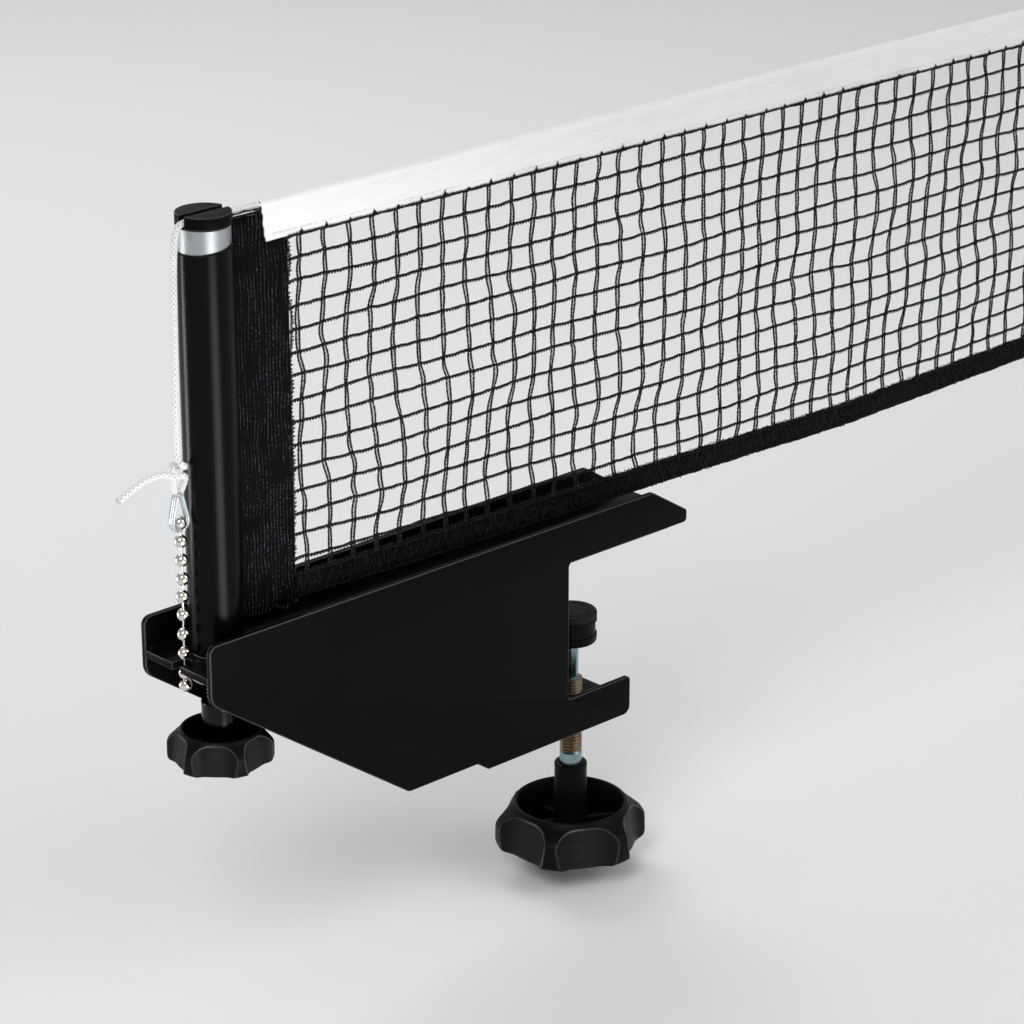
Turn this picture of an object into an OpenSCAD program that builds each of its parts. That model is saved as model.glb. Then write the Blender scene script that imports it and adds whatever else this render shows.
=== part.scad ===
// Table tennis net clamp with one post and the near stretch of its net.
// Millimetres. X = 0 is the side edge of the table, and +X runs over the table along the net.
// Y = 0 is the middle plane of the net, and Z = 0 is the playing surface.

/* [Table] */
// Thickness of the table top held in the jaw
table_t = 25; // [16:1:32]

/* [Bracket] */
// Clear width between the two side plates
inner_w = 31.5; // [30:0.5:40]
// Thickness of each side plate
plate_t = 2; // [1.5:0.1:3]
// Height of the side plates above the playing surface
plate_top = 18.2; // [16:0.2:24]
// Gap between the playing surface and the lower edge of the upper jaw
jaw_clear = 3; // [2:0.5:4]
// Reach of the upper jaw over the table
jaw_reach = 55.4; // [48:0.2:70]
// Length of the sloping nose on the upper jaw
nose_run = 17; // [12:1:22]
// Height of the upper jaw's tip above its lower edge
tip_h = 4.5; // [4.2:0.1:8]
// Gap between the table's side edge and the throat of the jaw
throat_clear = 2.5; // [1:0.5:4]
// Depth of the throat below the playing surface
throat_depth = 48.5; // [46:0.5:60]
// Height of the lower jaw's side plates
lower_jaw_h = 14.3; // [13:0.1:18]
// Reach of the lower jaw under the table
lower_jaw_reach = 28; // [27:0.5:34]
// Distance from the throat to the step in the bottom edge
step_run = 38; // [25:1:50]
// Height of the step in the bottom edge
step_h = 3.5; // [2:0.5:5]
// Distance from the table's side edge to the foot of the long slope
slope_foot = 77; // [66:1:90]
// Drop of the side plates' outer end below the playing surface
outer_drop = 1.5; // [0:0.5:4]

/* [Webs and pads] */
// Thickness of the two cross webs
web_t = 2.5; // [2:0.1:3]
// Thickness of the upper jaw's rubber pad
pad_t = 4.5; // [3.5:0.5:6]
// Width of the upper jaw's rubber pad
pad_w = 26; // [18:1:28]
// Depth of the lower web below the lower jaw's upper edge
lower_web_drop = 7.5; // [6:0.5:8.5]
// Diameter of the tack welds on the upper web
weld_d = 2.6; // [2:0.2:3.6]

/* [Post] */
// Distance from the table's side edge to the post's axis
post_reach = 143; // [125:1:150]
// Distance from the post's axis to the bracket's outer end
end_margin = 17; // [15.5:0.5:20]
// Outer diameter of the steel post
post_d = 17; // [16:0.5:20]
// Wall of the steel post
post_wall = 1.2; // [1:0.1:1.6]
// Wall of the plastic sleeve on the post
sleeve_wall = 0.5; // [0.4:0.1:1]
// Height of the bare steel between the sleeve and the cap
bare_ring = 8; // [6:0.5:12]
// Rise of the sleeve's sloping top from its outer side to the net's side
sleeve_rise = 2.4; // [0:0.2:3]
// Height of the cap above the post
cap_h = 4.2; // [4:0.2:6]
// Length of the cap's plug inside the post
cap_plug_l = 10; // [6:1:14]
// Width of the cord slot across the cap
slot_w = 2.8; // [2.6:0.1:3.4]
// Depth of the cord slot in the cap
slot_depth = 3.8; // [3:0.1:3.9]

/* [Screws and knobs] */
// Nominal diameter of both screws
screw_d = 8; // [6:1:8]
// Radial clearance of a screw in its welded nut
thread_fit = 0.05; // [0.03:0.01:0.08]
// Height of the welded nuts
nut_h = 6.5; // [5:0.5:8]
// Width across the flats of the clamp screw's welded nut
nut_af = 13; // [12:0.5:15]
// Diameter of the height screw's round welded nut
boss_d = 18; // [15:1:20]
// Diameter of the hub on both knobs
hub_d = 12; // [11:0.5:14]
// Diameter of the clamp knob over its ridges
clamp_knob_d = 55; // [48:1:62]
// Height of the clamp knob's rim
clamp_knob_h = 16.3; // [13:0.1:20]
// Drop of the clamp knob's sloping shoulder, from its cup to its ridges
clamp_knob_drop = 7; // [4:0.5:9]
// Height of the clamp knob's hub above the rim
clamp_hub_h = 15.4; // [12:0.2:18]
// Length of the clamp screw's thread above its knob
clamp_thread_l = 33.5; // [30:0.5:42]
// Distance from the table's side edge to the clamp screw's axis
clamp_reach = 16; // [13:0.5:17]
// Diameter of the height knob over its ridges
height_knob_d = 35; // [30:1:40]
// Height of the height knob's rim
height_knob_h = 11.4; // [8:0.2:14]
// Drop of the height knob's sloping shoulder, from its cup to its ridges
height_knob_drop = 4.9; // [3.6:0.1:5.5]
// Height of the height knob's hub above the rim
height_hub_h = 10; // [8:0.5:14]
// Distance from the round nut to the height knob's hub
height_hub_gap = 8; // [7.6:0.2:12]
// Height of the guide tube inside the post
guide_h = 34; // [20:1:60]
// Height of the plug that the height screw carries
plug_h = 8; // [5:0.5:12]

/* [Clamp foot] */
// Diameter of the clamp foot
foot_d = 18; // [16:1:22]
// Height of the clamp foot without its facing
foot_h = 9; // [8:0.5:11]
// Thickness of the clamp foot's rubber facing
facing_t = 2.5; // [2:0.5:3]
// Diameter of the clamp screw's turned end
pin_d = 5; // [4:0.5:5]
// Length of the turned end below the foot
pin_free = 14; // [12:0.5:15]

/* [Bead chain] */
// Diameter of one bead
bead_d = 4.4; // [4.2:0.1:4.8]
// Distance between bead centres
bead_pitch = 6.4; // [6:0.1:7]
// Number of beads above the notch
beads_up = 7; // [4:1:9]
// Diameter of the links between the beads
link_d = 1.2; // [1:0.1:1.4]
// Distance from the sleeve to the chain's axis
chain_gap = 4.3; // [4:0.1:6]
// Width of the chain's notch in the upper web
notch_w = 3.9; // [3:0.1:4]

/* [Chain clip] */
// Wall of the chain clip
clip_wall = 0.9; // [0.7:0.1:1.4]
// Depth of the chain clip
clip_t = 2.4; // [2:0.1:3]
// Inner radius of the chain clip's round end
clip_r = 2.15; // [2.1:0.05:2.2]
// Height of the chain clip from its round end's centre to its tip
clip_h = 11; // [9:0.5:14]

/* [Net] */
// Height of the net above the playing surface
net_h = 152.5; // [140:0.5:160]
// Length of the net's stretch from the post's axis to its end band
net_l = 415; // [300:5:500]
// Thickness of the folded bands and hems
band_t = 1.6; // [1.2:0.1:1.8]
// Width of the band beside the post, from the post's surface
side_band_w = 24.9; // [18:0.1:32]
// Width of the band at the far end
far_band_w = 22; // [15:1:30]
// Height of the white top tape
tape_h = 13.2; // [11:0.1:15]
// Distance from the sleeve to the start of the top tape
tape_start = 12.6; // [8:0.1:18]
// Thickness of the top tape around its cord
tape_t = 3.4; // [3:0.1:4]
// Height of the bottom hem
hem_h = 8.5; // [6:0.5:12]
// Height of the hem's lower edge above the playing surface
hem_z = 12; // [9:0.5:16]
// Number of mesh columns
mesh_cols = 27; // [12:1:28]
// Number of mesh rows
mesh_rows = 10; // [6:1:10]
// Width of the mesh strands
strand_w = 1.5; // [1:0.1:2]
// Thickness of the mesh strands
strand_t = 1; // [0.8:0.1:1.4]

/* [Cord] */
// Diameter of the tensioning cord
cord_d = 2.2; // [2:0.1:2.4]
// Width of the cord's knot
knot_d = 7; // [6:0.5:9]
// Height of the cord's knot
knot_h = 11; // [9.5:0.5:14]
// Inner radius of the loop at the cord's far end
loop_r = 5; // [4:0.5:8]
// Number of sides on the cord
cord_sides = 8; // [8:1:12]

/* [Hidden] */
$fn = 36;
small_fn = 14;      // facets of small rounds

fit = 0.1;          // radial running clearance
seat = 0.05;        // radial clearance of a fixed part in its seat
rest_gap = 0.3;     // clearance between neighbours that don't touch
lap = 0.2;          // overlap of two shapes joined into one
end_r = 3;          // rounding of the plates' free corners
edge_r = 1.5;       // rounding of the plates' small corners
rib_t = 1.8;        // thickness of the knobs' ribs
knob_foot_r = 2.6;  // rounding of the knobs' lower edge
clamp_scoop_turn = 60.5; // angle of the clamp knob's first finger scoop
height_scoop_turn = 44; // angle of the height knob's first finger scoop
scoop_curve = 1.12;     // a scoop's own radius, as a share of the knob's
scoop_floor = 0.858;    // a scoop's distance from the axis at the underside, as a share of the knob's radius
scoop_lean = 7.2;       // degrees that a scoop leans inwards
scoop_fn = 120;
cup_edge = 1.2;         // width of the rim round a knob's cup

black = [0.09, 0.09, 0.10];
rubber_black = [0.13, 0.13, 0.13];
zinc = [0.78, 0.79, 0.80];
nickel = [0.82, 0.82, 0.80];
cord_white = [0.95, 0.95, 0.94];
net_black = [0.10, 0.10, 0.13];

// Bracket
plate_out = inner_w / 2 + plate_t;
outer_x = -(post_reach + end_margin);
post_x = -post_reach;
web_z = pad_t;                              // underside of the upper web
web_top = web_z + web_t;
plate_low = -(throat_depth + lower_jaw_h);
lower_web_top = -(throat_depth + lower_web_drop);
lower_web_z = lower_web_top - web_t;
lower_web_end = lower_jaw_reach - 1.5;
step_x = -(throat_clear + step_run);
web_end_inset = 0.4;                        // upper web's end behind the jaw's tip
screw_hole_r = screw_d / 2 + 0.3;

// Post
post_r = post_d / 2;
bore_r = post_r - post_wall;
sleeve_r = post_r + seat + sleeve_wall;
post_top = net_h + 1.5 - cap_h;
sleeve_z = web_top + 1;
sleeve_top = post_top - bare_ring;
slit_w = band_t + 2 * rest_gap;
cap_r = sleeve_r - 0.1;
guide_r = bore_r - fit;
guide_bore_r = screw_d / 2 + 0.5;

// Height screw: its shoulder carries the plug, and a clip holds the plug down
plug_gap = 7;                               // from the guide to the plug with the post down
plug_z = web_top + guide_h + plug_gap;
height_pin_r = screw_d / 2 - 1;
height_pin_top = plug_z + plug_h + 3;
height_nut_z = web_z - nut_h;
height_hub_top = height_nut_z - height_hub_gap;
height_rim_top = height_hub_top - height_hub_h;
height_knob_z = height_rim_top - height_knob_h;
height_screw_z = height_knob_z + 3;

// Clamp screw: its turned end carries the foot, and a clip on its spigot keeps the foot on
foot_top = -table_t - facing_t;
foot_z = foot_top - foot_h;
pin_r = pin_d / 2;
pin_top = foot_z + 4;                       // shoulder that pushes the foot
spigot_r = pin_r - 0.9;
spigot_top = foot_top - rest_gap;
foot_clip_out = spigot_r + 1.8;
clip_seat_h = 3;                            // height of the clip's hollow in the foot
e_clip_t = 0.8;
shoulder_z = foot_z - pin_free;
clamp_hub_top = shoulder_z - clamp_thread_l;
clamp_rim_top = clamp_hub_top - clamp_hub_h;
clamp_knob_z = clamp_rim_top - clamp_knob_h;
clamp_screw_z = clamp_knob_z + 5;

// Chain, clip and knot
chain_x = post_x - sleeve_r - chain_gap;
notch_bead_z = web_z - sqrt(pow(bead_d / 2, 2) - pow(notch_w / 2, 2)) - 0.1;
end_bead_z = notch_bead_z - bead_d - 0.1;    // the chain's last bead, pushed up against its neighbour
knot_lap = 1;                               // the clip's tip inside the knot
clip_z = notch_bead_z + (beads_up + 1) * bead_pitch;
knot_z = clip_z + clip_h - knot_lap;         // lower end of the knot
knot_top = knot_z + knot_h;

// Net
band_x = post_x + post_r + seat;
side_band_x = band_x + side_band_w;
tape_x = post_x + sleeve_r + tape_start;
far_x = post_x + net_l;
far_end = far_x + far_band_w;
tape_z = net_h - tape_h;
hem_top = hem_z + hem_h;
mesh_w = far_x - side_band_x;
mesh_h = tape_z - hem_top;
col_pitch = (mesh_w - strand_w) / mesh_cols;
row_pitch = (mesh_h - strand_w) / mesh_rows;

// Cord: from the tape's end, through the cap's slot and down to the knot
cord_r = cord_d / 2;
cord_z = post_top + cap_h - slot_depth + cord_r + 0.1;
cap_edge = post_x - cap_r;
band_top = post_top - rest_gap;              // clear of the cap's flange and of the cord
CORD_ROUTE = [
    [tape_x, 0, cord_z], [post_x + 14, 0, cord_z], [post_x + 7, 0, cord_z],
    [post_x, 0, cord_z], [post_x - 6, 0, cord_z], [cap_edge - 0.4, 0, cord_z - 0.2],
    [cap_edge - 1.5, 0, cord_z - 1.2], [cap_edge - 2.4, 0, cord_z - 3.4],
    [cap_edge - 2.9, 0, cord_z - 7], [cap_edge - 3.3, 0, cord_z - 13],
    [cap_edge - 3.6, 0, cord_z - 22], [cap_edge - 3.9, 0, cord_z - 34],
    [cap_edge - 4.2, 0, cord_z - 48], [chain_x, 0, cord_z - 62], [chain_x, 0, knot_top - knot_lap]
];
// Loose tail: leaves the knot sideways and droops to its bare end
TAIL_ROUTE = [
    [knot_lap - knot_d / 2, 0, 0.3], [-6.5, 0, 0.8], [-10, 0, 0.7], [-14, 0, -0.2],
    [-18, 0, -1.6], [-21, 0, -3], [-24, 0, -4.8]
];

// Vector helpers for the swept tubes
function unit(v) = v / norm(v);
function heading(p, i) =
    i == 0 ? unit(p[1] - p[0]) :
    i == len(p) - 1 ? unit(p[i] - p[i - 1]) :
    unit(unit(p[i] - p[i - 1]) + unit(p[i + 1] - p[i]));
function ring(c, t, r, n) =
    let (side = [0, 1, 0], up = unit(cross(t, side)))
    [for (k = [0:n - 1]) let (a = 360 * k / n) c + r * (cos(a) * cross(up, t) + sin(a) * up)];

// One closed tube of n sides along the points p
module tube_along(p, r, n) {
    rings = [for (i = [0:len(p) - 1]) ring(p[i], heading(p, i), r, n)];
    points = [for (one = rings) each one];
    last = (len(p) - 1) * n;
    sides = [for (i = [0:len(p) - 2], k = [0:n - 1])
        let (a = i * n + k, b = i * n + (k + 1) % n) each [[a, b, b + n], [a, b + n, a + n]]];
    first_cap = [for (k = [1:n - 2]) [0, k + 1, k]];
    last_cap = [for (k = [1:n - 2]) [last, last + k, last + k + 1]];
    polyhedron(points = points, faces = concat(sides, first_cap, last_cap), convexity = 4);
}

// Outline whose corners are rounded: each corner is [x, y, radius]
function corner_arc(a, b, c, r, n) =
    let (p = [b[0], b[1]], u = unit([a[0], a[1]] - p), v = unit([c[0], c[1]] - p),
         half = acos(max(-1, min(1, u * v))) / 2, reach = r / tan(half),
         mid = p + unit(u + v) * r / sin(half),
         from = p + u * reach - mid, to = p + v * reach - mid,
         turn = atan2(from[0] * to[1] - from[1] * to[0], from * to))
    [for (k = [0:n]) let (w = turn * k / n)
        mid + [from[0] * cos(w) - from[1] * sin(w), from[0] * sin(w) + from[1] * cos(w)]];
function rounded(c, n = 5) =
    [for (i = [0:len(c) - 1])
        let (a = c[(i + len(c) - 1) % len(c)], b = c[i], d = c[(i + 1) % len(c)])
        each (b[2] > 0 ? corner_arc(a, b, d, b[2], n) : [[b[0], b[1]]])];

function plate_corners() = [
    [outer_x, plate_top, end_r],
    [outer_x, -outer_drop, 2 * end_r],
    [-slope_foot, plate_low + step_h, end_r],
    [step_x - step_h - 1.5, plate_low + step_h, edge_r],
    [step_x, plate_low, edge_r],
    [lower_jaw_reach, plate_low, end_r],
    [lower_jaw_reach, -throat_depth, edge_r],
    [-throat_clear, -throat_depth, edge_r],
    [-throat_clear, jaw_clear, edge_r],
    [jaw_reach, jaw_clear, edge_r],
    [jaw_reach, jaw_clear + tip_h, edge_r],
    [jaw_reach - nose_run, plate_top, end_r]
];

// A round bar, tube or bore standing on z
module rod(x, z, h, r) translate([x, 0, z]) cylinder(h = h, r = r);
module pipe(x, z, h, r_out, r_in) {
    difference() {
        rod(x, z, h, r_out);
        rod(x, z - 1, h + 2, r_in);
    }
}

// One side plate, drawn in X and Z and standing from y inwards by its thickness
module side_plate(y) {
    color(black) translate([0, y + plate_t, 0]) rotate([90, 0, 0])
        linear_extrude(height = plate_t) polygon(rounded(plate_corners()));
}
module side_plate_near() side_plate(-plate_out);
module side_plate_far() side_plate(inner_w / 2);

// Upper web: the tray between the plates, with the screw's hole and the chain's notch
module upper_web() {
    web_l = jaw_reach - web_end_inset - outer_x;
    color(black) difference() {
        translate([outer_x, -inner_w / 2, web_z]) cube([web_l, inner_w, web_t]);
        rod(post_x, web_z - 1, web_t + 2, screw_hole_r);
        translate([outer_x - 1, -notch_w / 2, web_z - 1]) cube([chain_x - outer_x + 1, notch_w, web_t + 2]);
        rod(chain_x, web_z - 1, web_t + 2, notch_w / 2);
    }
}

// Lower web: carries the clamp screw's nut between the lower jaw's plates
module lower_web() {
    color(black) difference() {
        translate([step_x, -inner_w / 2, lower_web_z])
            cube([lower_web_end - step_x, inner_w, web_t]);
        rod(clamp_reach, lower_web_z - 1, web_t + 2, screw_hole_r);
    }
}

// Tack welds in the corner between the upper web and each plate
module weld_beads() {
    sink = weld_d / 4;
    color(black) for (side = [0, 1]) mirror([0, side, 0])
        translate([outer_x + weld_d, inner_w / 2 - sink, web_top + sink])
            intersection() {
                sphere(d = weld_d, $fn = small_fn);
                translate([-weld_d, sink - 2 * weld_d, -sink]) cube(2 * weld_d);
            }
}

module upper_jaw_pad() {
    color(rubber_black) translate([-throat_clear + 0.5, -pad_w / 2, 0])
        cube([jaw_reach - web_end_inset - 3 + throat_clear - 0.5, pad_w, web_z]);
}

// Round nut welded under the upper web
module height_nut() {
    color(zinc) pipe(post_x, height_nut_z, nut_h, boss_d / 2, screw_d / 2 + thread_fit);
}

// Guide tube welded on the upper web: the post slides on it
module post_guide() color(zinc) pipe(post_x, web_top, guide_h, guide_r, guide_bore_r);

module clamp_nut() {
    color(zinc) difference() {
        translate([clamp_reach, 0, lower_web_z - nut_h])
            cylinder(h = nut_h, r = nut_af / sqrt(3), $fn = 6);
        rod(clamp_reach, lower_web_z - nut_h - 1, nut_h + 2, screw_d / 2 + thread_fit);
    }
}

module post_tube() color(zinc) pipe(post_x, web_top, post_top - web_top, post_r, bore_r);

// Plastic sleeve, slit towards the net to grip the side band, with a sloping top edge
module post_sleeve() {
    tilt = atan2(sleeve_rise, 2 * sleeve_r);
    tall = sleeve_top + sleeve_rise - sleeve_z;
    color(black) difference() {
        pipe(post_x, sleeve_z, tall, sleeve_r, post_r + seat);
        translate([post_x, 0, sleeve_top + sleeve_rise / 2]) rotate([0, -tilt, 0])
            translate([-2 * post_d, -2 * post_d, 0]) cube([4 * post_d, 4 * post_d, 3 * post_d]);
        translate([post_x, -slit_w / 2, sleeve_z - 1]) cube([post_d, slit_w, tall + 2]);
    }
}

// Cap: a flange and a plug, with the cord's slot along X
module post_cap() {
    color(black) difference() {
        union() {
            rod(post_x, post_top, cap_h, cap_r);
            rod(post_x, post_top - cap_plug_l, cap_plug_l, bore_r - seat);
        }
        translate([post_x - 2 * post_d, -slot_w / 2, post_top + cap_h - slot_depth])
            cube([4 * post_d, slot_w, slot_depth + 1]);
    }
}

// Steel plug pressed into the post: the height screw lifts it
module post_plug() color(zinc) pipe(post_x, plug_z, plug_h, bore_r - seat, height_pin_r + fit);

module height_screw() {
    color(zinc) {
        rod(post_x, height_screw_z, plug_z - height_screw_z, screw_d / 2);
        rod(post_x, plug_z, height_pin_top - plug_z, height_pin_r);
    }
}

// Retaining clip: a thin split ring on a screw's turned end
module split_ring(x, z, r_in, r_out) {
    difference() {
        pipe(x, z, e_clip_t, r_out, r_in);
        translate([x, -r_in * 0.7, z - 1]) cube([r_out + 1, r_in * 1.4, e_clip_t + 2]);
    }
}
module height_clip() {
    color(zinc) split_ring(post_x, plug_z + plug_h + rest_gap, height_pin_r + seat, height_pin_r + 2);
}
module foot_clip() {
    color(zinc)
        split_ring(clamp_reach, foot_top - clip_seat_h + rest_gap, spigot_r + seat, foot_clip_out);
}

// Star knob: a turned body whose shoulder falls outwards from its cup, six finger scoops that lean inwards
// and leave narrow ridges between them, a hub on ribs, and the screw's blind bore
module star_knob(x, z, d, rim_h, drop, turn, hub_h, bore_depth) {
    r = d / 2;
    cup_r = 0.69 * r;
    scoop_r = scoop_curve * r;
    floor_t = 0.22 * rim_h;
    rib_z = floor_t - lap;
    hub_top = rim_h + hub_h;
    color(black) translate([x, 0, z]) difference() {
        union() {
            difference() {
                rotate_extrude()
                    polygon(rounded([
                        [0, 0, 0], [r, 0, knob_foot_r], [r, rim_h - drop, drop / 2.4],
                        [cup_r + cup_edge + 0.05 * r, rim_h - 0.27 * drop, 1], [cup_r + cup_edge, rim_h, 0.6],
                        [0, rim_h, 0]
                    ]));
                translate([0, 0, floor_t]) cylinder(h = rim_h, r = cup_r);
                for (k = [0:5])
                    rotate(turn + 60 * k) translate([scoop_floor * r, 0, 0]) rotate([0, -scoop_lean, 0])
                        translate([scoop_r, 0, -rim_h]) cylinder(h = 4 * rim_h, r = scoop_r, $fn = scoop_fn);
            }
            for (k = [0:2]) rotate(turn + 30 + 60 * k)
                translate([-cup_r - lap, -rib_t / 2, rib_z]) cube([2 * (cup_r + lap), rib_t, 0.45 * rim_h]);
            translate([0, 0, rib_z]) cylinder(h = hub_top - rib_z, r = hub_d / 2);
        }
        translate([0, 0, hub_top - bore_depth]) cylinder(h = bore_depth + 1, r = screw_d / 2 + seat / 2);
    }
}
module height_knob() {
    star_knob(post_x, height_knob_z, height_knob_d, height_knob_h, height_knob_drop, height_scoop_turn,
        height_hub_h, height_hub_top - height_screw_z);
}
module clamp_knob() {
    star_knob(clamp_reach, clamp_knob_z, clamp_knob_d, clamp_knob_h, clamp_knob_drop, clamp_scoop_turn,
        clamp_hub_h, clamp_hub_top - clamp_screw_z);
}

module clamp_screw() {
    color(zinc) {
        rod(clamp_reach, clamp_screw_z, shoulder_z - clamp_screw_z, screw_d / 2);
        rod(clamp_reach, shoulder_z, pin_top - shoulder_z, pin_r);
        rod(clamp_reach, pin_top, spigot_top - pin_top, spigot_r);
    }
}

// Clamp foot: turns on the screw's end and holds the clip in its hollow
module clamp_foot() {
    color(black) difference() {
        rod(clamp_reach, foot_z, foot_h, foot_d / 2);
        rod(clamp_reach, foot_z - 1, pin_top - foot_z + 1, pin_r + fit);
        rod(clamp_reach, foot_z, foot_h, spigot_r + fit);
        rod(clamp_reach, foot_top - clip_seat_h, clip_seat_h + 1, foot_clip_out + rest_gap);
    }
}
module foot_facing() color(rubber_black) rod(clamp_reach, foot_top, facing_t, foot_d / 2);

// Ball chain: one bead under the notch, the end bead below it and the run above it
module bead_chain() {
    color(nickel) {
        for (z = concat([end_bead_z], [for (k = [0:beads_up + 1]) notch_bead_z + k * bead_pitch]))
            translate([chain_x, 0, z]) sphere(d = bead_d, $fn = small_fn);
        rod(chain_x, end_bead_z, clip_z - end_bead_z, link_d / 2, $fn = small_fn);
    }
}

// Clear teardrop clip: a round end about the last bead, narrowing to the cord's eye
function teardrop(r, h, steps = 14) =
    let (lean = asin(r / h))
    concat([for (k = [0:steps]) let (a = 180 - lean + (180 + 2 * lean) * k / steps)
        [r * cos(a), r * sin(a)]], [[0, h]]);
module chain_clip() {
    color([0.85, 0.88, 0.9]) difference() {
        translate([chain_x, clip_t / 2, clip_z]) rotate([90, 0, 0])
            linear_extrude(height = clip_t) difference() {
                polygon(teardrop(clip_r + clip_wall, clip_h));
                polygon(teardrop(clip_r, clip_h - 3.5 * clip_wall));
            }
        rod(chain_x, clip_z - 2 * clip_r, 2 * clip_r, link_d / 2 + rest_gap);
    }
}

module tension_cord() color(cord_white) tube_along(CORD_ROUTE, cord_r, cord_sides);
module cord_knot() {
    color(cord_white) for (z = [knot_z + knot_d / 2, knot_top - knot_d / 2])
        translate([chain_x, 0, z]) sphere(d = knot_d, $fn = small_fn);
}
module cord_tail() {
    color(cord_white) translate([chain_x, 0, knot_top - knot_d / 2])
        tube_along(TAIL_ROUTE, cord_r, cord_sides);
}

// Net: bands, hems and a flat sheet of mesh, drawn in X and Z about the middle plane
module sheet(x, z, w, h, t) translate([x, -t / 2, z]) cube([w, t, h]);
module net_side_band() {
    color(net_black) sheet(band_x, hem_z, side_band_w, band_top - hem_z, band_t);
}
module net_mesh() {
    hole_w = col_pitch - strand_w;
    hole_h = row_pitch - strand_w;
    color(net_black) translate([side_band_x, strand_t / 2, hem_top]) rotate([90, 0, 0])
        linear_extrude(height = strand_t) difference() {
            square([mesh_w, mesh_h]);
            for (i = [0:mesh_cols - 1], j = [0:mesh_rows - 1])
                translate([strand_w + i * col_pitch, strand_w + j * row_pitch]) square([hole_w, hole_h]);
        }
}
module net_top_tape() {
    color(cord_white) difference() {
        sheet(tape_x, tape_z, far_end - tape_x, tape_h, tape_t);
        sheet(tape_x - 1, tape_z - 1, side_band_x - tape_x + 1, band_top + rest_gap - tape_z + 1, slit_w);
    }
}
module net_bottom_hem() color(net_black) sheet(side_band_x, hem_z, mesh_w, hem_h, band_t);
module net_far_band() color(net_black) sheet(far_x, hem_z, far_band_w, tape_z - hem_z, band_t);

// The cord's far end: a knot against the tape and the loop that the other post's hook takes
module far_loop() {
    color(cord_white) {
        translate([far_end, 0, cord_z]) rotate([0, 90, 0])
            cylinder(h = 2 * cord_d, r = cord_r, $fn = small_fn);
        translate([far_end + cord_d, 0, cord_z]) sphere(r = 0.8 * cord_d, $fn = small_fn);
        translate([far_end + 2 * cord_d + loop_r, 0, cord_z]) rotate([90, 0, 0])
            rotate_extrude() translate([loop_r + cord_r, 0]) circle(r = cord_r, $fn = small_fn);
    }
}

side_plate_near();
side_plate_far();
upper_web();
lower_web();
weld_beads();
upper_jaw_pad();
height_nut();
post_guide();
clamp_nut();
post_tube();
post_sleeve();
post_cap();
post_plug();
height_screw();
height_knob();
height_clip();
clamp_screw();
clamp_knob();
foot_clip();
clamp_foot();
foot_facing();
bead_chain();
chain_clip();
tension_cord();
cord_knot();
cord_tail();
net_side_band();
net_mesh();
net_top_tape();
net_bottom_hem();
net_far_band();
far_loop();
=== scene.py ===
"""Table tennis net clamp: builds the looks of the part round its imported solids."""

import math

import bmesh
import bpy
import numpy as np
from bpy.props import FloatProperty, FloatVectorProperty, IntProperty, PointerProperty
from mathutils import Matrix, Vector, noise


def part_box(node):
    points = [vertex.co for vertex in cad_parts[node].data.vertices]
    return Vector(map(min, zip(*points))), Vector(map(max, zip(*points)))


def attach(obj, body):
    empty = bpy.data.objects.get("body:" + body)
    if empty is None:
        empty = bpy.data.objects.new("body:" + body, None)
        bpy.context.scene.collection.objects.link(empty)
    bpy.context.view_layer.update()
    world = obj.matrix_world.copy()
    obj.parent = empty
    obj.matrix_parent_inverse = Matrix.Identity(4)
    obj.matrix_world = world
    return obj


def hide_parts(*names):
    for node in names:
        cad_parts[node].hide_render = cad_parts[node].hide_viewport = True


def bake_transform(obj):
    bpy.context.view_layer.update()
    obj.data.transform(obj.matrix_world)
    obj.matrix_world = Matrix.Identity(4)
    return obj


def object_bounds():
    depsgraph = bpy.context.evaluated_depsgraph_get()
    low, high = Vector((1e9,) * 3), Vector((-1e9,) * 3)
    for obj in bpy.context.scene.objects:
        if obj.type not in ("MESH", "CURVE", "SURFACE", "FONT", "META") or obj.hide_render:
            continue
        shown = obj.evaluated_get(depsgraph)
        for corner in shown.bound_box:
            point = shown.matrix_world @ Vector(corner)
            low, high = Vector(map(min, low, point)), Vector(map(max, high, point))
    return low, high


bl_info = {
    "name": "Table Tennis Net Clamp",
    "version": (1, 0, 0),
    "blender": (4, 5, 0),
    "location": "View3D > Sidebar > Net Clamp",
    "description": "Dresses a net clamp, its post and its net with real finishes",
    "category": "Object",
}

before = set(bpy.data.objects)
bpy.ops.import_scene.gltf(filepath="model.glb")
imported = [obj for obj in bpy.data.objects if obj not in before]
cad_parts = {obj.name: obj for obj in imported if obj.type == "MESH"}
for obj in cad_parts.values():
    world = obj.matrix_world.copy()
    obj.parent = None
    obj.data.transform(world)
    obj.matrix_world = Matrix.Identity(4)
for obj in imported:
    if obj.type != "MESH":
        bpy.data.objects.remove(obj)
CAD_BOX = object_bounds()
MM = 0.001


# Colours and materials


def srgb(code):
    """A hex colour as the linear values that Blender's sockets take."""
    parts = [int(code[i : i + 2], 16) / 255 for i in (1, 3, 5)]
    return tuple(c / 12.92 if c <= 0.04045 else ((c + 0.055) / 1.055) ** 2.4 for c in parts)


def rgba(colour):
    """A colour with its alpha. The output of another node stays as it is."""
    return colour if isinstance(colour, bpy.types.NodeSocket) else (*colour[:3], 1.0)


def per_mm(size):
    """Noise scale, in metres, of a pattern whose features are that many millimetres wide."""
    return 1 / (size * MM)


def wave_per_mm(period):
    """Wave Texture's scale for bands that many millimetres apart."""
    return math.tau / (20 * period * MM)


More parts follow.
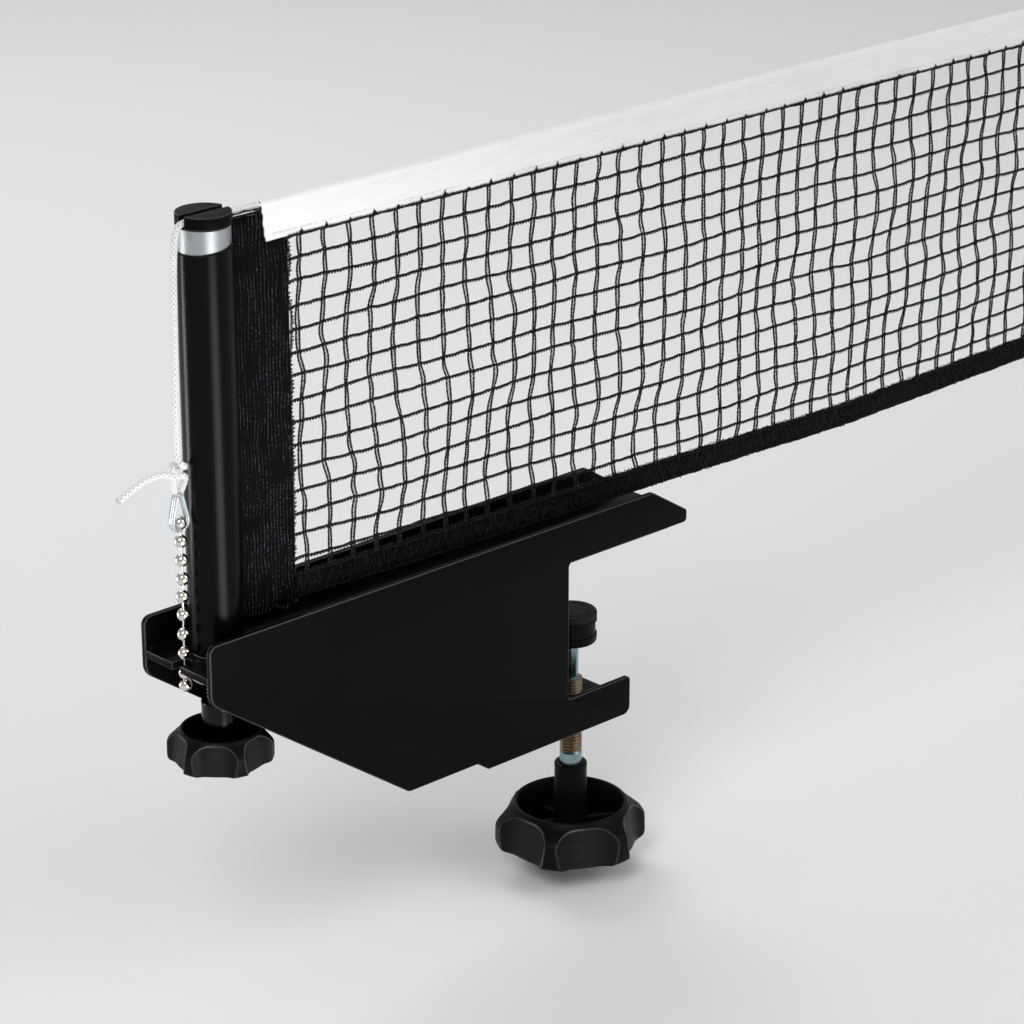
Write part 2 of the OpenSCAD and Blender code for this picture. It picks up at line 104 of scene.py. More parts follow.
def add(tree, kind, links=(), **settings):
    """One node: settings are its properties, links its inputs by name or in order, as values or nodes."""
    made = tree.nodes.new(kind)
    for name, value in settings.items():
        setattr(made, name, value)
    for socket, value in links.items() if isinstance(links, dict) else enumerate(links):
        if isinstance(value, bpy.types.Node):
            value = value.outputs[0]
        if isinstance(value, bpy.types.NodeSocket):
            tree.links.new(value, made.inputs[socket])
        else:
            made.inputs[socket].default_value = value
    return made


def new_material(name, colour):
    """A material with an empty tree."""
    material = bpy.data.materials.new(name)
    material.use_nodes = True
    material.diffuse_color = rgba(colour)
    material.node_tree.nodes.clear()
    return material, material.node_tree


def shaded(material, tone=None, rough=None, relief=(), **sockets):
    """Ends a material with one principled shader, whose plain sockets are set by name.

    tone is a pattern with the colours of its low and high values, rough a pattern with its lowest and highest
    roughness, and relief holds patterns with their depth in millimetres and their strength.
    """
    tree = material.node_tree
    inputs = {key.replace("_", " "): value for key, value in sockets.items()}
    inputs.setdefault("Base Color", tuple(material.diffuse_color))
    if tone:
        mixed = add(tree, "ShaderNodeMix", {0: tone[0], 6: rgba(tone[1]), 7: rgba(tone[2])}, data_type="RGBA")
        inputs["Base Color"] = mixed.outputs[2]
    if rough:
        links = {"Value": rough[0], "To Min": rough[1], "To Max": rough[2]}
        inputs["Roughness"] = add(tree, "ShaderNodeMapRange", links)
    for height, depth, strength in relief:
        links = {"Height": height, "Distance": depth * MM, "Strength": strength}
        if "Normal" in inputs:
            links["Normal"] = inputs["Normal"]
        inputs["Normal"] = add(tree, "ShaderNodeBump", links)
    shader = add(tree, "ShaderNodeBsdfPrincipled", inputs)
    add(tree, "ShaderNodeOutputMaterial", {"Surface": shader})
    return material


def object_place(tree, stretch=(1, 1, 1)):
    """Object coordinates, stretched along each axis."""
    place = add(tree, "ShaderNodeTexCoord")
    return add(tree, "ShaderNodeMapping", {"Vector": place.outputs["Object"], "Scale": stretch})


def grain(tree, size_mm, stretch=(1, 1, 1), detail=2.0, roughness=0.5):
    """A cloudy pattern on object coordinates, with features of that size."""
    links = {"Vector": object_place(tree, stretch), "Scale": per_mm(size_mm)}
    links |= {"Detail": detail, "Roughness": roughness}
    return add(tree, "ShaderNodeTexNoise", links)


def lighter(colour, share, plus):
    """A colour scaled up and raised, up to white."""
    return [min(1, c * share + plus) for c in colour]


def powder_coat(name, colour, rough, gloss):
    """Baked polyester powder: deep satin black, with a fine orange peel and slightly uneven gloss."""
    material, tree = new_material(name, colour)
    blotch = grain(tree, 26, detail=3)
    return shaded(
        material,
        tone=(blotch, colour, lighter(colour, 1.4, 0.0006)),
        rough=(blotch, *rough),
        relief=[(grain(tree, 1.1), 0.02, 0.35)],
        IOR=1.5,
        Specular_IOR_Level=gloss,
    )


def moulded_nylon(name, colour, roughness, gloss):
    """Glass-filled nylon from a spark-eroded mould: soft gloss over a fine grain, with a painted highlight of
    light grey along its edges.
    """
    material, tree = new_material(name, colour)
    patch = grain(tree, 9, detail=3)
    links = {0: patch, 6: rgba(colour), 7: rgba(lighter(colour, 1.4, 0.0004))}
    body = add(tree, "ShaderNodeMix", links, data_type="RGBA").outputs[2]
    # the painted edge highlight is broken into short level strokes
    edges = add(tree, "ShaderNodeAttribute", attribute_name="rubbed").outputs["Fac"]
    strokes = grain(tree, 0.7, (0.1, 0.1, 1))
    strokes = add(tree, "ShaderNodeMath", (strokes, 1.5, 0.25), operation="MULTIPLY_ADD")
    rubbed = add(tree, "ShaderNodeMath", (edges, strokes), operation="MULTIPLY")
    return shaded(
        material,
        # the light grey is the painted highlight on the rims
        tone=(rubbed, body, srgb("#6c6c6e")),
        rough=(patch, roughness - 0.09, roughness + 0.12),
        relief=[(grain(tree, 0.5), 0.012, 0.5)],
        IOR=1.3,
        Specular_IOR_Level=gloss,
    )


def extruded_sleeve(colour):
    """Extruded PVC: smooth and glossy, with faint lines along the extrusion."""
    material, tree = new_material("extruded black PVC", colour)
    lines = grain(tree, 2.5, (1, 1, 0.02))
    relief = [(lines, 0.01, 0.35)]
    return shaded(material, rough=(lines, 0.2, 0.3), relief=relief, IOR=1.4, Specular_IOR_Level=0.11)


def zinc_plate(name, colour, roughness, stretch=(1, 1, 1), dents=0.008):
    """Bright zinc on turned steel: mottled, with faint tool marks."""
    material, tree = new_material(name, colour)
    clouds = grain(tree, 4.5, stretch, 4, 0.6)
    return shaded(
        material,
        tone=(clouds, [c * 0.62 for c in colour], colour),
        rough=(clouds, roughness - 0.08, roughness + 0.14),
        relief=[(grain(tree, 0.6, stretch), dents, 0.5)],
        Metallic=1.0,
    )


def nickel_plate(colour):
    """Rolled brass beads with bright nickel: a mirror with tiny dents."""
    material, tree = new_material("nickel-plated beads", colour)
    marks = grain(tree, 1.3, detail=3)
    return shaded(material, rough=(marks, 0.07, 0.22), relief=[(marks, 0.05, 0.5)], Metallic=1.0)


def clear_plastic(colour):
    """Injection-moulded polycarbonate: clear, a little milky, with flow waves."""
    material, tree = new_material("clear polycarbonate", colour)
    flow = [(grain(tree, 1.6), 0.06, 0.5)]
    return shaded(material, relief=flow, Roughness=0.12, IOR=1.58, Transmission_Weight=0.82, Coat_Weight=0.3)


def fibre(name, colour, dark, grain_mm, sheen, depth_mm=0.05, highlight_flecks=0.0, gloss=0.3):
    """Spun or textured yarn: dull and unevenly dyed. The fleck setting puts the light colour only on the
    noise's highest values, as painted highlight specks.
    """
    material, tree = new_material(name, colour)
    fine = grain(tree, grain_mm, detail=4, roughness=0.65)
    if highlight_flecks:
        links = {"Value": fine, "From Min": highlight_flecks, "From Max": highlight_flecks + 0.16}
        value = add(tree, "ShaderNodeMapRange", links)
    else:
        wide = grain(tree, grain_mm * 14)
        value = add(tree, "ShaderNodeMath", (fine, wide, 0.18), operation="MULTIPLY_ADD")
    return shaded(
        material,
        tone=(value, dark, colour),
        relief=[(fine, depth_mm, 0.6)],
        Roughness=0.7,
        IOR=1.45,
        Specular_IOR_Level=gloss,
        Sheen_Weight=sheen,
        Sheen_Roughness=0.5,
    )


def woven_tape(colour, dark):
    """Bleached plain-woven cotton: a fine even weave, with slubs along it and soft crease lines."""
    material, tree = new_material("bleached cotton tape", colour)
    # the cloth's own threads lie 0.45 mm apart; drawn twice as coarse so that they show
    bands = []
    for way, period in (("Z", 0.95), ("X", 0.85)):
        links = {"Vector": object_place(tree), "Scale": wave_per_mm(period)}
        links |= {"Distortion": 0.8, "Detail Scale": 2.0}
        bands.append(add(tree, "ShaderNodeTexWave", links, bands_direction=way).outputs["Fac"])
    weave = add(tree, "ShaderNodeMath", bands, operation="MULTIPLY")
    slubs = grain(tree, 1.1, (0.1, 1, 1), 3)
    # the tone adds the weave and the slubs, and stains scale their sum
    value = 0.5
    for pattern, share in ((slubs, 0.4), (weave, 0.22)):
        value = add(tree, "ShaderNodeMath", (pattern, share, value), operation="MULTIPLY_ADD")
    stains = grain(tree, 30, (0.4, 1, 1), 3)
    stains = add(tree, "ShaderNodeMath", (stains, 0.4, 0.8), operation="MULTIPLY_ADD")
    value = add(tree, "ShaderNodeMath", (value, stains), operation="MULTIPLY")
    return shaded(
        material,
        tone=(value, dark, colour),
        relief=[(weave, 0.06, 0.3), (slubs, 0.2, 0.3)],
        Roughness=0.88,
        IOR=1.45,
        Specular_IOR_Level=0.3,
        Sheen_Weight=0.1,
    )


def matt_rubber(colour):
    """Moulded nitrile rubber: matt, dusty, with a coarse grain."""
    material, tree = new_material("matt nitrile rubber", colour)
    dust = (grain(tree, 6, detail=3), colour, [c * 1.8 for c in colour])
    relief = [(grain(tree, 0.7), 0.04, 0.6)]
    return shaded(material, tone=dust, relief=relief, Roughness=0.78, IOR=1.5, Specular_IOR_Level=0.3)


# Meshes


def metres(point):
    """A point given in millimetres."""
    return tuple(c * MM for c in point)


def link(piece):
    bpy.context.scene.collection.objects.link(piece)
    return piece


def quads(rows, n, ring=False, closed=False, first=0):
    """Faces between rows of n points: ring joins each row's ends, closed joins the last row to the first."""
    faces = []
    for k in range(rows if closed else rows - 1):
        a, b = first + k * n, first + (k + 1) % rows * n
        for j in range(n if ring else n - 1):
            i = (j + 1) % n
            faces.append((a + j, a + i, b + i, b + j))
    return faces


def mesh_piece(name, points, faces, *materials, sharp=35):
    """A mesh object in millimetres, smooth but for edges sharper than that angle."""
    mesh = bpy.data.meshes.new(name)
    mesh.from_pydata([metres(p) for p in points], [], faces)
    return finish_mesh(link(bpy.data.objects.new(name, mesh)), *materials, sharp=sharp)


def closed_piece(name, points, faces, *materials, sharp=30):
    """A closed shell in millimetres, with its faces turned outwards."""
    return finish_mesh(outward(mesh_piece(name, points, faces, *materials)), sharp=sharp)


def finish_mesh(piece, *materials, sharp=35):
    """Gives a piece its materials, and smooth shading but for edges sharper than that angle."""
    for material in materials:
        piece.data.materials.append(material)
    piece.data.validate()
    piece.data.polygons.foreach_set("use_smooth", [True] * len(piece.data.polygons))
    piece.data.set_sharp_from_angle(angle=math.radians(sharp))
    piece.data.update()
    return piece


def outward(piece, merge=1e-7):
    """Merges doubles, closes open ends and turns the faces outwards."""
    shell = bmesh.new()
    shell.from_mesh(piece.data)
    bmesh.ops.remove_doubles(shell, verts=shell.verts, dist=merge)
    bmesh.ops.holes_fill(shell, edges=[e for e in shell.edges if e.is_boundary], sides=0)
    bmesh.ops.recalc_face_normals(shell, faces=shell.faces)
    shell.to_mesh(piece.data)
    shell.free()
    return piece


def settled(piece):
    """Turns a piece's modifiers into plain mesh."""
    graph = bpy.context.evaluated_depsgraph_get()
    made = bpy.data.meshes.new_from_object(piece.evaluated_get(graph))
    piece.modifiers.clear()
    piece.data = made
    made.name = piece.name
    return piece


def joined(name, *pieces):
    """Several meshes as one piece, materials kept."""
    with bpy.context.temp_override(active_object=pieces[0], selected_editable_objects=list(pieces)):
        bpy.ops.object.join()
    pieces[0].name = name
    pieces[0].data.name = name
    return pieces[0]


def cloth_piece(name, points, across, material, thickness):
    """A sheet of cloth from rows of so many points, given its thickness evenly on both sides."""
    piece = mesh_piece(name, points, quads(len(points) // across, across), material, sharp=80)
    skin = piece.modifiers.new("cloth", "SOLIDIFY")
    skin.thickness = thickness * MM
    skin.offset = 0
    return settled(piece)


def placed(piece, body, slot, *nodes):
    """Rides a finished piece on its body, in place of the solids that it stands for."""
    if nodes:
        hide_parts(*nodes)
    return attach(piece, body)


def bevelled(name, node, width_mm, *materials, segments=3, angle=28):
    """A copy of a solid with its edges rounded. The second material goes on the rounding."""
    shell = bmesh.new()
    shell.from_mesh(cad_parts[node].data)
    bmesh.ops.remove_doubles(shell, verts=shell.verts, dist=1e-6)
    bmesh.ops.dissolve_limit(shell, angle_limit=math.radians(0.6), verts=shell.verts, edges=shell.edges)
    mesh = bpy.data.meshes.new(name)
    shell.to_mesh(mesh)
    shell.free()
    piece = link(bpy.data.objects.new(name, mesh))
    for material in materials:
        mesh.materials.append(material)
    rounding = piece.modifiers.new("rounding", "BEVEL")
    rounding.width = width_mm * MM
    rounding.segments = segments
    rounding.limit_method = "ANGLE"
    rounding.angle_limit = math.radians(angle)
    rounding.material = len(materials) - 1
    settled(piece)
    return finish_mesh(piece, sharp=40)


def lathe(profile, x=0.0, turns=72):
    """Points and faces of a profile of (radius, z) turned about an upright axis at x."""
    points, faces, rows = [], [], []
    for r, z in profile:
        around = turns if r > 1e-6 else 1
        rows.append(list(range(len(points), len(points) + around)))
        for a in np.arange(around) * math.tau / turns:
            points.append((x + r * math.cos(a), r * math.sin(a), z))
    for below, above in zip(rows, rows[1:]):
        for k in range(turns):
            n = (k + 1) % turns
            if len(below) == 1:
                faces.append((below[0], above[k], above[n]))
            elif len(above) == 1:
                faces.append((below[k], below[n], above[0]))
            else:
                faces.append((below[k], below[n], above[n], above[k]))
    return points, faces


def turned_piece(name, profile, x, material, turns=72, sharp=30):
    """A closed solid of revolution."""
    return closed_piece(name, *lathe(profile, x, turns), material, sharp=sharp)


def arc(centre, radius, start, end, steps=5):
    """Points of an arc in a profile, angles in degrees."""
    turns = np.radians(np.linspace(start, end, steps))
    return [(centre[0] + radius * math.cos(a), centre[1] + radius * math.sin(a)) for a in turns]


def curve_through(points, steps):
    """A Catmull-Rom curve through points, with so many steps between each two."""
    p = np.array(points, float)
    p = np.vstack([2 * p[0] - p[1], p, 2 * p[-1] - p[-2]])
    fine = []
    for a, b, c, d in zip(p, p[1:], p[2:], p[3:]):
        for t in np.linspace(0, 1, steps, endpoint=False):
            cubic = (2 * a - 5 * b + 4 * c - d) * t * t + (3 * b - a - 3 * c + d) * t**3
            fine.append(0.5 * (2 * b + (c - a) * t + cubic))
    return np.array([*fine, p[-2]])


def length_along(line):
    """How far along a line each of its points lies."""
    return np.concatenate([[0], np.cumsum(np.linalg.norm(np.diff(line, axis=0), axis=1))])


def smooth_path(points, step):
    """A smooth curve through points, with a point about every step, and how far along it each lies."""
    fine = curve_through(points, 24)
    along = length_along(fine)
    at = np.linspace(0, along[-1], max(2, round(along[-1] / step) + 1))
    return np.stack([np.interp(at, along, fine[:, k]) for k in range(3)], axis=1), at


def frames_along(path):
    """Two side directions at each point of a path, carried along without twist."""
    ahead = np.gradient(path, axis=0)
    ahead /= np.linalg.norm(ahead, axis=1)[:, None]
    side = np.cross(ahead[0], (0, 1, 0.01))
    side /= np.linalg.norm(side)
    sides = []
    for t in ahead:
        side = side - t * (side @ t)
        side /= np.linalg.norm(side)
        sides.append(side)
    sides = np.array(sides)
    return sides, np.cross(ahead, sides)


# Geometry trees for what repeats


def geometry_tree(name, *inputs):
    """An empty tree with named inputs, given as (name, socket type, default)."""
    tree = bpy.data.node_groups.new(name, "GeometryNodeTree")
    tree.interface.new_socket("Geometry", in_out="INPUT", socket_type="NodeSocketGeometry")
    for label, kind, default in inputs:
        socket = tree.interface.new_socket(label, in_out="INPUT", socket_type=f"NodeSocket{kind}")
        if default is not None:
            socket.default_value = default
    tree.interface.new_socket("Geometry", in_out="OUTPUT", socket_type="NodeSocketGeometry")
    source = add(tree, "NodeGroupInput").outputs
    return tree, source


def end_tree(tree, source, geometry):
    """Makes a tree's instances real, smooth and dressed, as the export needs them."""
    real = add(tree, "GeometryNodeRealizeInstances", {0: geometry})
    smooth = add(tree, "GeometryNodeSetShadeSmooth", {0: real})
    dressed = add(tree, "GeometryNodeSetMaterial", {"Geometry": smooth, "Material": source["Material"]})
    add(tree, "NodeGroupOutput", {0: dressed})
    return tree


def grown(name, tree, values, mesh=None):
    """The plain mesh that a tree makes of a mesh, or of nothing."""
    piece = link(bpy.data.objects.new(name, mesh or bpy.data.meshes.new(name)))
    modifier = piece.modifiers.new(tree.name, "NODES")
    modifier.node_group = tree
    for item in tree.interface.items_tree:
        if item.item_type == "SOCKET" and item.in_out == "INPUT" and item.name in values:
            modifier[item.identifier] = values[item.name]
    return settled(piece)


def tube(tree, line, sides, radius):
    """A round tube along every line of a mesh, with closed ends."""
    curve = add(tree, "GeometryNodeMeshToCurve", {0: line})
    ring = add(tree, "GeometryNodeCurvePrimitiveCircle", {"Resolution": sides, "Radius": radius})
    return add(tree, "GeometryNodeCurveToMesh", {"Curve": curve, "Profile Curve": ring, "Fill Caps": True})


def yarn_tree():
    """Round yarn along every line of a mesh."""
    sizes = ("Radius", "Float", 0.0004), ("Sides", "Int", 5)
    tree, source = geometry_tree("yarn", *sizes, ("Material", "Material", None))
    return end_tree(tree, source, tube(tree, source["Geometry"], source["Sides"], source["Radius"]))


def ball_chain_tree():
    """A bead with its necks on each point of a line, and a thin link along the line."""
    sizes = ("Bead radius", "Float", 0.0022), ("Link radius", "Float", 0.0005)
    tree, source = geometry_tree("ball chain", *sizes, ("Material", "Material", None))
    radius = source["Bead radius"]
    bead = add(tree, "GeometryNodeMeshUVSphere", {"Segments": 28, "Rings": 18, "Radius": radius})
    # a rolled bead is a little longer than wide and has a neck at each end
    long = add(tree, "GeometryNodeTransform", {"Geometry": bead, "Scale": (1, 1, 1.04)})
    neck_r = add(tree, "ShaderNodeMath", (radius, 0.26), operation="MULTIPLY")
    neck_h = add(tree, "ShaderNodeMath", (radius, 2.16), operation="MULTIPLY")
    neck = add(tree, "GeometryNodeMeshCylinder", {"Vertices": 18, "Radius": neck_r, "Depth": neck_h})
    whole = add(tree, "GeometryNodeJoinGeometry")
    for shape in (long, neck):
        links = {"Points": source["Geometry"], "Instance": shape}
        tree.links.new(add(tree, "GeometryNodeInstanceOnPoints", links).outputs[0], whole.inputs[0])
    links = tube(tree, source["Geometry"], 12, source["Link radius"])
    tree.links.new(links.outputs[0], whole.inputs[0])
    return end_tree(tree, source, whole)


def thread_tree():
    """The skin of a right-hand screw thread up a vertical axis, open at both ends."""
    tree, source = geometry_tree(
        "screw thread",
        ("Radius", "Float", 0.004),
        ("Depth", "Float", 0.0007),
        ("Pitch", "Float", 0.00125),
        ("Length", "Float", 0.03),
        ("Start", "Vector", (0, 0, 0)),
        ("Material", "Material", None),
    )
    turns = add(tree, "ShaderNodeMath", (source["Length"], source["Pitch"]), operation="DIVIDE")
    rings = add(tree, "ShaderNodeMath", (turns, 8), operation="MULTIPLY")
    sizes = {"Size X": 1.0, "Size Y": 1.0, "Vertices X": 41, "Vertices Y": rings}
    grid = add(tree, "GeometryNodeMeshGrid", sizes)
    place = add(tree, "ShaderNodeSeparateXYZ", {0: add(tree, "GeometryNodeInputPosition")})
    round_share = add(tree, "ShaderNodeMath", (place.outputs["X"], 0.5), operation="ADD")
    up_share = add(tree, "ShaderNodeMath", (place.outputs["Y"], 0.5), operation="ADD")
    height = add(tree, "ShaderNodeMath", (up_share, source["Length"]), operation="MULTIPLY")
    angle = add(tree, "ShaderNodeMath", (round_share, math.tau), operation="MULTIPLY")
    up_turns = add(tree, "ShaderNodeMath", (height, source["Pitch"]), operation="DIVIDE")
    turn = add(tree, "ShaderNodeMath", (up_turns, round_share), operation="SUBTRACT")
    # a triangle wave with its crest and root cut flat
    twice = add(tree, "ShaderNodeMath", (turn, 2), operation="MULTIPLY")
    wave = add(tree, "ShaderNodeMath", (twice, 1), operation="PINGPONG")
    flat = add(tree, "ShaderNodeMapRange", {"Value": wave, "From Min": 0.14, "From Max": 0.86})
    cut = add(tree, "ShaderNodeMath", (flat, source["Depth"]), operation="MULTIPLY")
    radius = add(tree, "ShaderNodeMath", (source["Radius"], cut), operation="SUBTRACT")
    ways = [add(tree, "ShaderNodeMath", (angle,), operation=way) for way in ("COSINE", "SINE")]
    flat_place = [add(tree, "ShaderNodeMath", (radius, way), operation="MULTIPLY") for way in ways]
    there = add(tree, "ShaderNodeCombineXYZ", (*flat_place, height))
    shifted = add(tree, "ShaderNodeVectorMath", (there, source["Start"]))
    moved = add(tree, "GeometryNodeSetPosition", {"Geometry": grid, "Position": shifted})
    return end_tree(tree, source, moved)


def yarns(name, lines, radius_mm, sides, material):
    """Tubes along lines of points in millimetres, through the yarn tree."""
    points, edges = [], []
    for one in lines:
        first = len(points)
        points.extend(metres(p) for p in one)
        edges.extend((k, k + 1) for k in range(first, len(points) - 1))
    mesh = bpy.data.meshes.new(name)
    mesh.from_pydata(points, edges, [])
    values = {"Radius": radius_mm * MM, "Sides": sides, "Material": material}
    return grown(name, trees["yarn"], values, mesh)


def twisted(line, radius, pitch, plies=2, start=0.0):
    """The plies of a twisted yarn along a line whose points are evenly spaced."""
    line = np.array(line, float)
    along = length_along(line)
    a, b = frames_along(line)
    made = []
    for k in range(plies):
        turn = start + math.tau * (along / pitch + k / plies)
        made.append(line + radius * (np.cos(turn)[:, None] * a + np.sin(turn)[:, None] * b))
    return made


# Sizes and colours that a user would change


def colour_prop(label, code):
    about, default = f"{label} colour", srgb(code)
    return FloatVectorProperty(name=label, description=about, subtype="COLOR", min=0, max=1, default=default)


def length_prop(label, about, millimetres):
    default = millimetres * MM
    return FloatProperty(name=label, description=about, unit="LENGTH", default=default, min=0, precision=5)


def power_prop(label, watts):
    about = f"Power of the {label.lower()}"
    return FloatProperty(name=label, description=about, unit="POWER", default=watts, min=0)


class NetClampFinishes(bpy.types.PropertyGroup):
    """Colours of the part's finishes"""

    coat: colour_prop("Powder coat", "#050506")
    # a lighter grey for the rounded edges of plates and webs: a painted edge highlight
    coat_edge_highlight: colour_prop("Painted edge highlight on powder coat", "#2b2c2f")
    nylon: colour_prop("Moulded knobs", "#070708")
    sleeve: colour_prop("Post sleeve", "#040405")
    zinc: colour_prop("Zinc plate", "#d0d3d6")
    thread: colour_prop("Brownish thread", "#a08d74")
    shank: colour_prop("Blue zinc shank", "#93aab0")
    nickel: colour_prop("Nickel beads", "#d6d2cb")
    clip: colour_prop("Clear clip", "#dbe4ea")
    cord: colour_prop("Cord", "#f1f1ef")
    tape: colour_prop("Top tape", "#efefed")
    # the light colour of the hem's painted highlight specks
    net: colour_prop("Hem highlight flecks", "#3a3b43")
    rubber: colour_prop("Rubber", "#0e0e0f")
    floor: colour_prop("Studio floor", "#f2f3f4")


class NetClampNet(bpy.types.PropertyGroup):
    """Sizes of the net"""

    column: length_prop("Column spacing", "Distance between the net's vertical meshes", 10.2)
    rows: IntProperty(name="Rows", description="Meshes from the tape to the hem", default=15, min=4, max=30)
    row_yarn: length_prop("Row yarn", "Radius of one ply of the horizontal yarn", 0.31)
    column_yarn: length_prop("Column yarn", "Radius of one ply of the vertical yarns", 0.22)
    rib: length_prop("Rib spacing", "Distance between the ribs of the side band", 1.4)
    seed: IntProperty(name="Seed", description="Chooses the net's small unevenness", default=4, min=0)


class NetClampParts(bpy.types.PropertyGroup):
    """Sizes of the clamp's parts"""

    edge: length_prop("Plate edge", "Rounding of the plates' edges", 0.36)
    pitch: length_prop("Thread pitch", "Pitch of both screws", 1.25)
    thread_depth: length_prop("Thread depth", "Depth of the threads", 0.7)
    lobes: IntProperty(name="Scoops", description="Finger scoops round each knob", default=6, min=3, max=12)
    braid: length_prop("Braid pitch", "Length of one turn of a strand in the cord", 7.0)


class NetClampStage(bpy.types.PropertyGroup):
    """Camera and light"""

    focal: FloatProperty(name="Focal length", description="Camera lens in mm", default=125.02, min=20)
    key: power_prop("Key light", 10.8)
    fill: power_prop("Fill light", 6.3)
    strip: power_prop("Strip lights", 0.065)
    sky: FloatProperty(name="Surroundings", description="Strength of the even light", default=0.5, min=0)


def finishes():
    return bpy.context.scene.net_clamp_finishes


def net():
    return bpy.context.scene.net_clamp_net


def parts():
    return bpy.context.scene.net_clamp_parts


def low(node):
    """A solid's lowest corner in millimetres."""
    return [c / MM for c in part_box(node)[0]]


def high(node):
    return [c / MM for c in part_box(node)[1]]


def middle(node):
    return [(a + b) / 2 for a, b in zip(low(node), high(node))]


def turned_solid(node):
    """The axis of a turned solid, its lowest and highest point, and its radius."""
    return middle(node)[0], low(node)[2], high(node)[2], high(node)[1]


# Stage


class NETCLAMP_OT_stage(bpy.types.Operator):
    """Makes the floor, the studio light and the camera"""

    bl_idname = "net_clamp.stage"
    bl_label = "Stage and Camera"

    # the camera's place in millimetres, and the way that it looks in degrees
    CAMERA = (-792.6, -829.0, 465.5)
    HEADING, DOWN = 46.757, 21.388
    FLOOR_REACH = 9000
    # the clamp knob comes down 10 mm when its screw is backed right off, and stays clear of the floor
    KNOB_DROP = 10.4

    def execute(self, context):
        stage = context.scene.net_clamp_stage
        floor_z = CAD_BOX[0].z / MM - self.KNOB_DROP
        far = self.FLOOR_REACH
        corners = [(x, y, floor_z) for x, y in ((-far, -far), (far, -far), (far, far), (-far, far))]
        paint = shaded(new_material("matt studio floor", finishes().floor)[0], Roughness=0.9)
        floor = mesh_piece("studio_floor", corners, [(0, 1, 2, 3)], paint)

        world = bpy.data.worlds.new("even studio light")
        context.scene.world = world
        world.use_nodes = True
        sky = world.node_tree
        sky.nodes.clear()
        even = {"Color": rgba(finishes().floor), "Strength": stage.sky}
        background = add(sky, "ShaderNodeBackground", even)
        add(sky, "ShaderNodeOutputWorld", {"Surface": background})

        # each lamp's place and aim in millimetres, size in metres, power and spread
        post_x, strip = -143, stage.strip
        for lamp in (
            ("key", (-1150, -700, 1150), (0, 0, 30), (0.75, 0.75), stage.key),
            ("fill", (700, -1300, 900), (0, 0, 0), (1.2, 1.2), stage.fill),
            ("back", (300, 1200, 1100), (0, 0, 60), (1.0, 1.0), stage.fill),
            # two narrow lamps near the floor draw the upright lights on the post
            ("left strip", (-306, 190, 8), (post_x, 0, 70), (0.04, 0.12), strip * 0.7, 70),
            ("front strip", (-178, -250, -24), (post_x, 0, 60), (0.13, 0.18), strip * 1.4, 70),
        ):
            self.lamp(*lamp)

        lens = bpy.data.cameras.new("camera")
        lens.sensor_width = 36
        lens.lens = stage.focal
        lens.clip_start, lens.clip_end = 0.05, 60
        camera = link(bpy.data.objects.new("camera", lens))
        camera.location = metres(self.CAMERA)
        a, e = math.radians(self.HEADING), math.radians(self.DOWN)
        look = Vector((math.cos(e) * math.cos(a), math.cos(e) * math.sin(a), -math.sin(e)))
        camera.rotation_euler = look.to_track_quat("-Z", "Y").to_euler()
        context.scene.camera = camera
        context.scene.view_settings.view_transform = "Standard"
        return {"FINISHED"}

    def lamp(self, name, place, aim, size, power, spread_deg=180):
        light = bpy.data.lights.new(name, "AREA")
        light.shape = "ELLIPSE" if spread_deg == 180 else "RECTANGLE"
        light.size, light.size_y = size
        light.energy = power
        light.spread = math.radians(spread_deg)
        lamp = link(bpy.data.objects.new(name, light))
        lamp.visible_camera = False
        lamp.location = metres(place)
        lamp.rotation_euler = (Vector(aim) - Vector(place)).to_track_quat("-Z", "Y").to_euler()


# Cord


def braid(path, diameter, pitch, material, name):
    """Eight flattened strands woven over and under each other round a core."""
    line, along = smooth_path(path, 0.4)
    a, b = frames_along(line)
    # shares of the cord's diameter: how far out a strand lies, how far it goes in and out, and its half sizes
    core, out_by, weave, half_thick, half_wide = 0.3, 0.08, 0.045, 0.11, 0.245
    sides, n = 8, len(line)
    points, faces = [], []
    for hand, k in [(hand, k) for hand in (1, -1) for k in range(4)]:
        turn = hand * math.tau * along / pitch + k * math.pi / 2
        lift = diameter * core + diameter * (out_by + weave * hand * np.cos(4 * math.tau * along / pitch))
        out = np.cos(turn)[:, None] * a + np.sin(turn)[:, None] * b
        aside = -np.sin(turn)[:, None] * a + np.cos(turn)[:, None] * b
        centre = line + lift[:, None] * out
        first = len(points)
        for w in np.arange(sides) * math.tau / sides:
            ring = half_thick * math.cos(w) * out + half_wide * math.sin(w) * aside
            points += (centre + diameter * ring).tolist()
        faces += quads(sides, n, closed=True, first=first)
        start = [first + j * n for j in range(sides)]
        faces += [start, [j + n - 1 for j in reversed(start)]]
    piece = outward(mesh_piece(name, points, faces, material, sharp=80))
    return piece, line, along[-1]


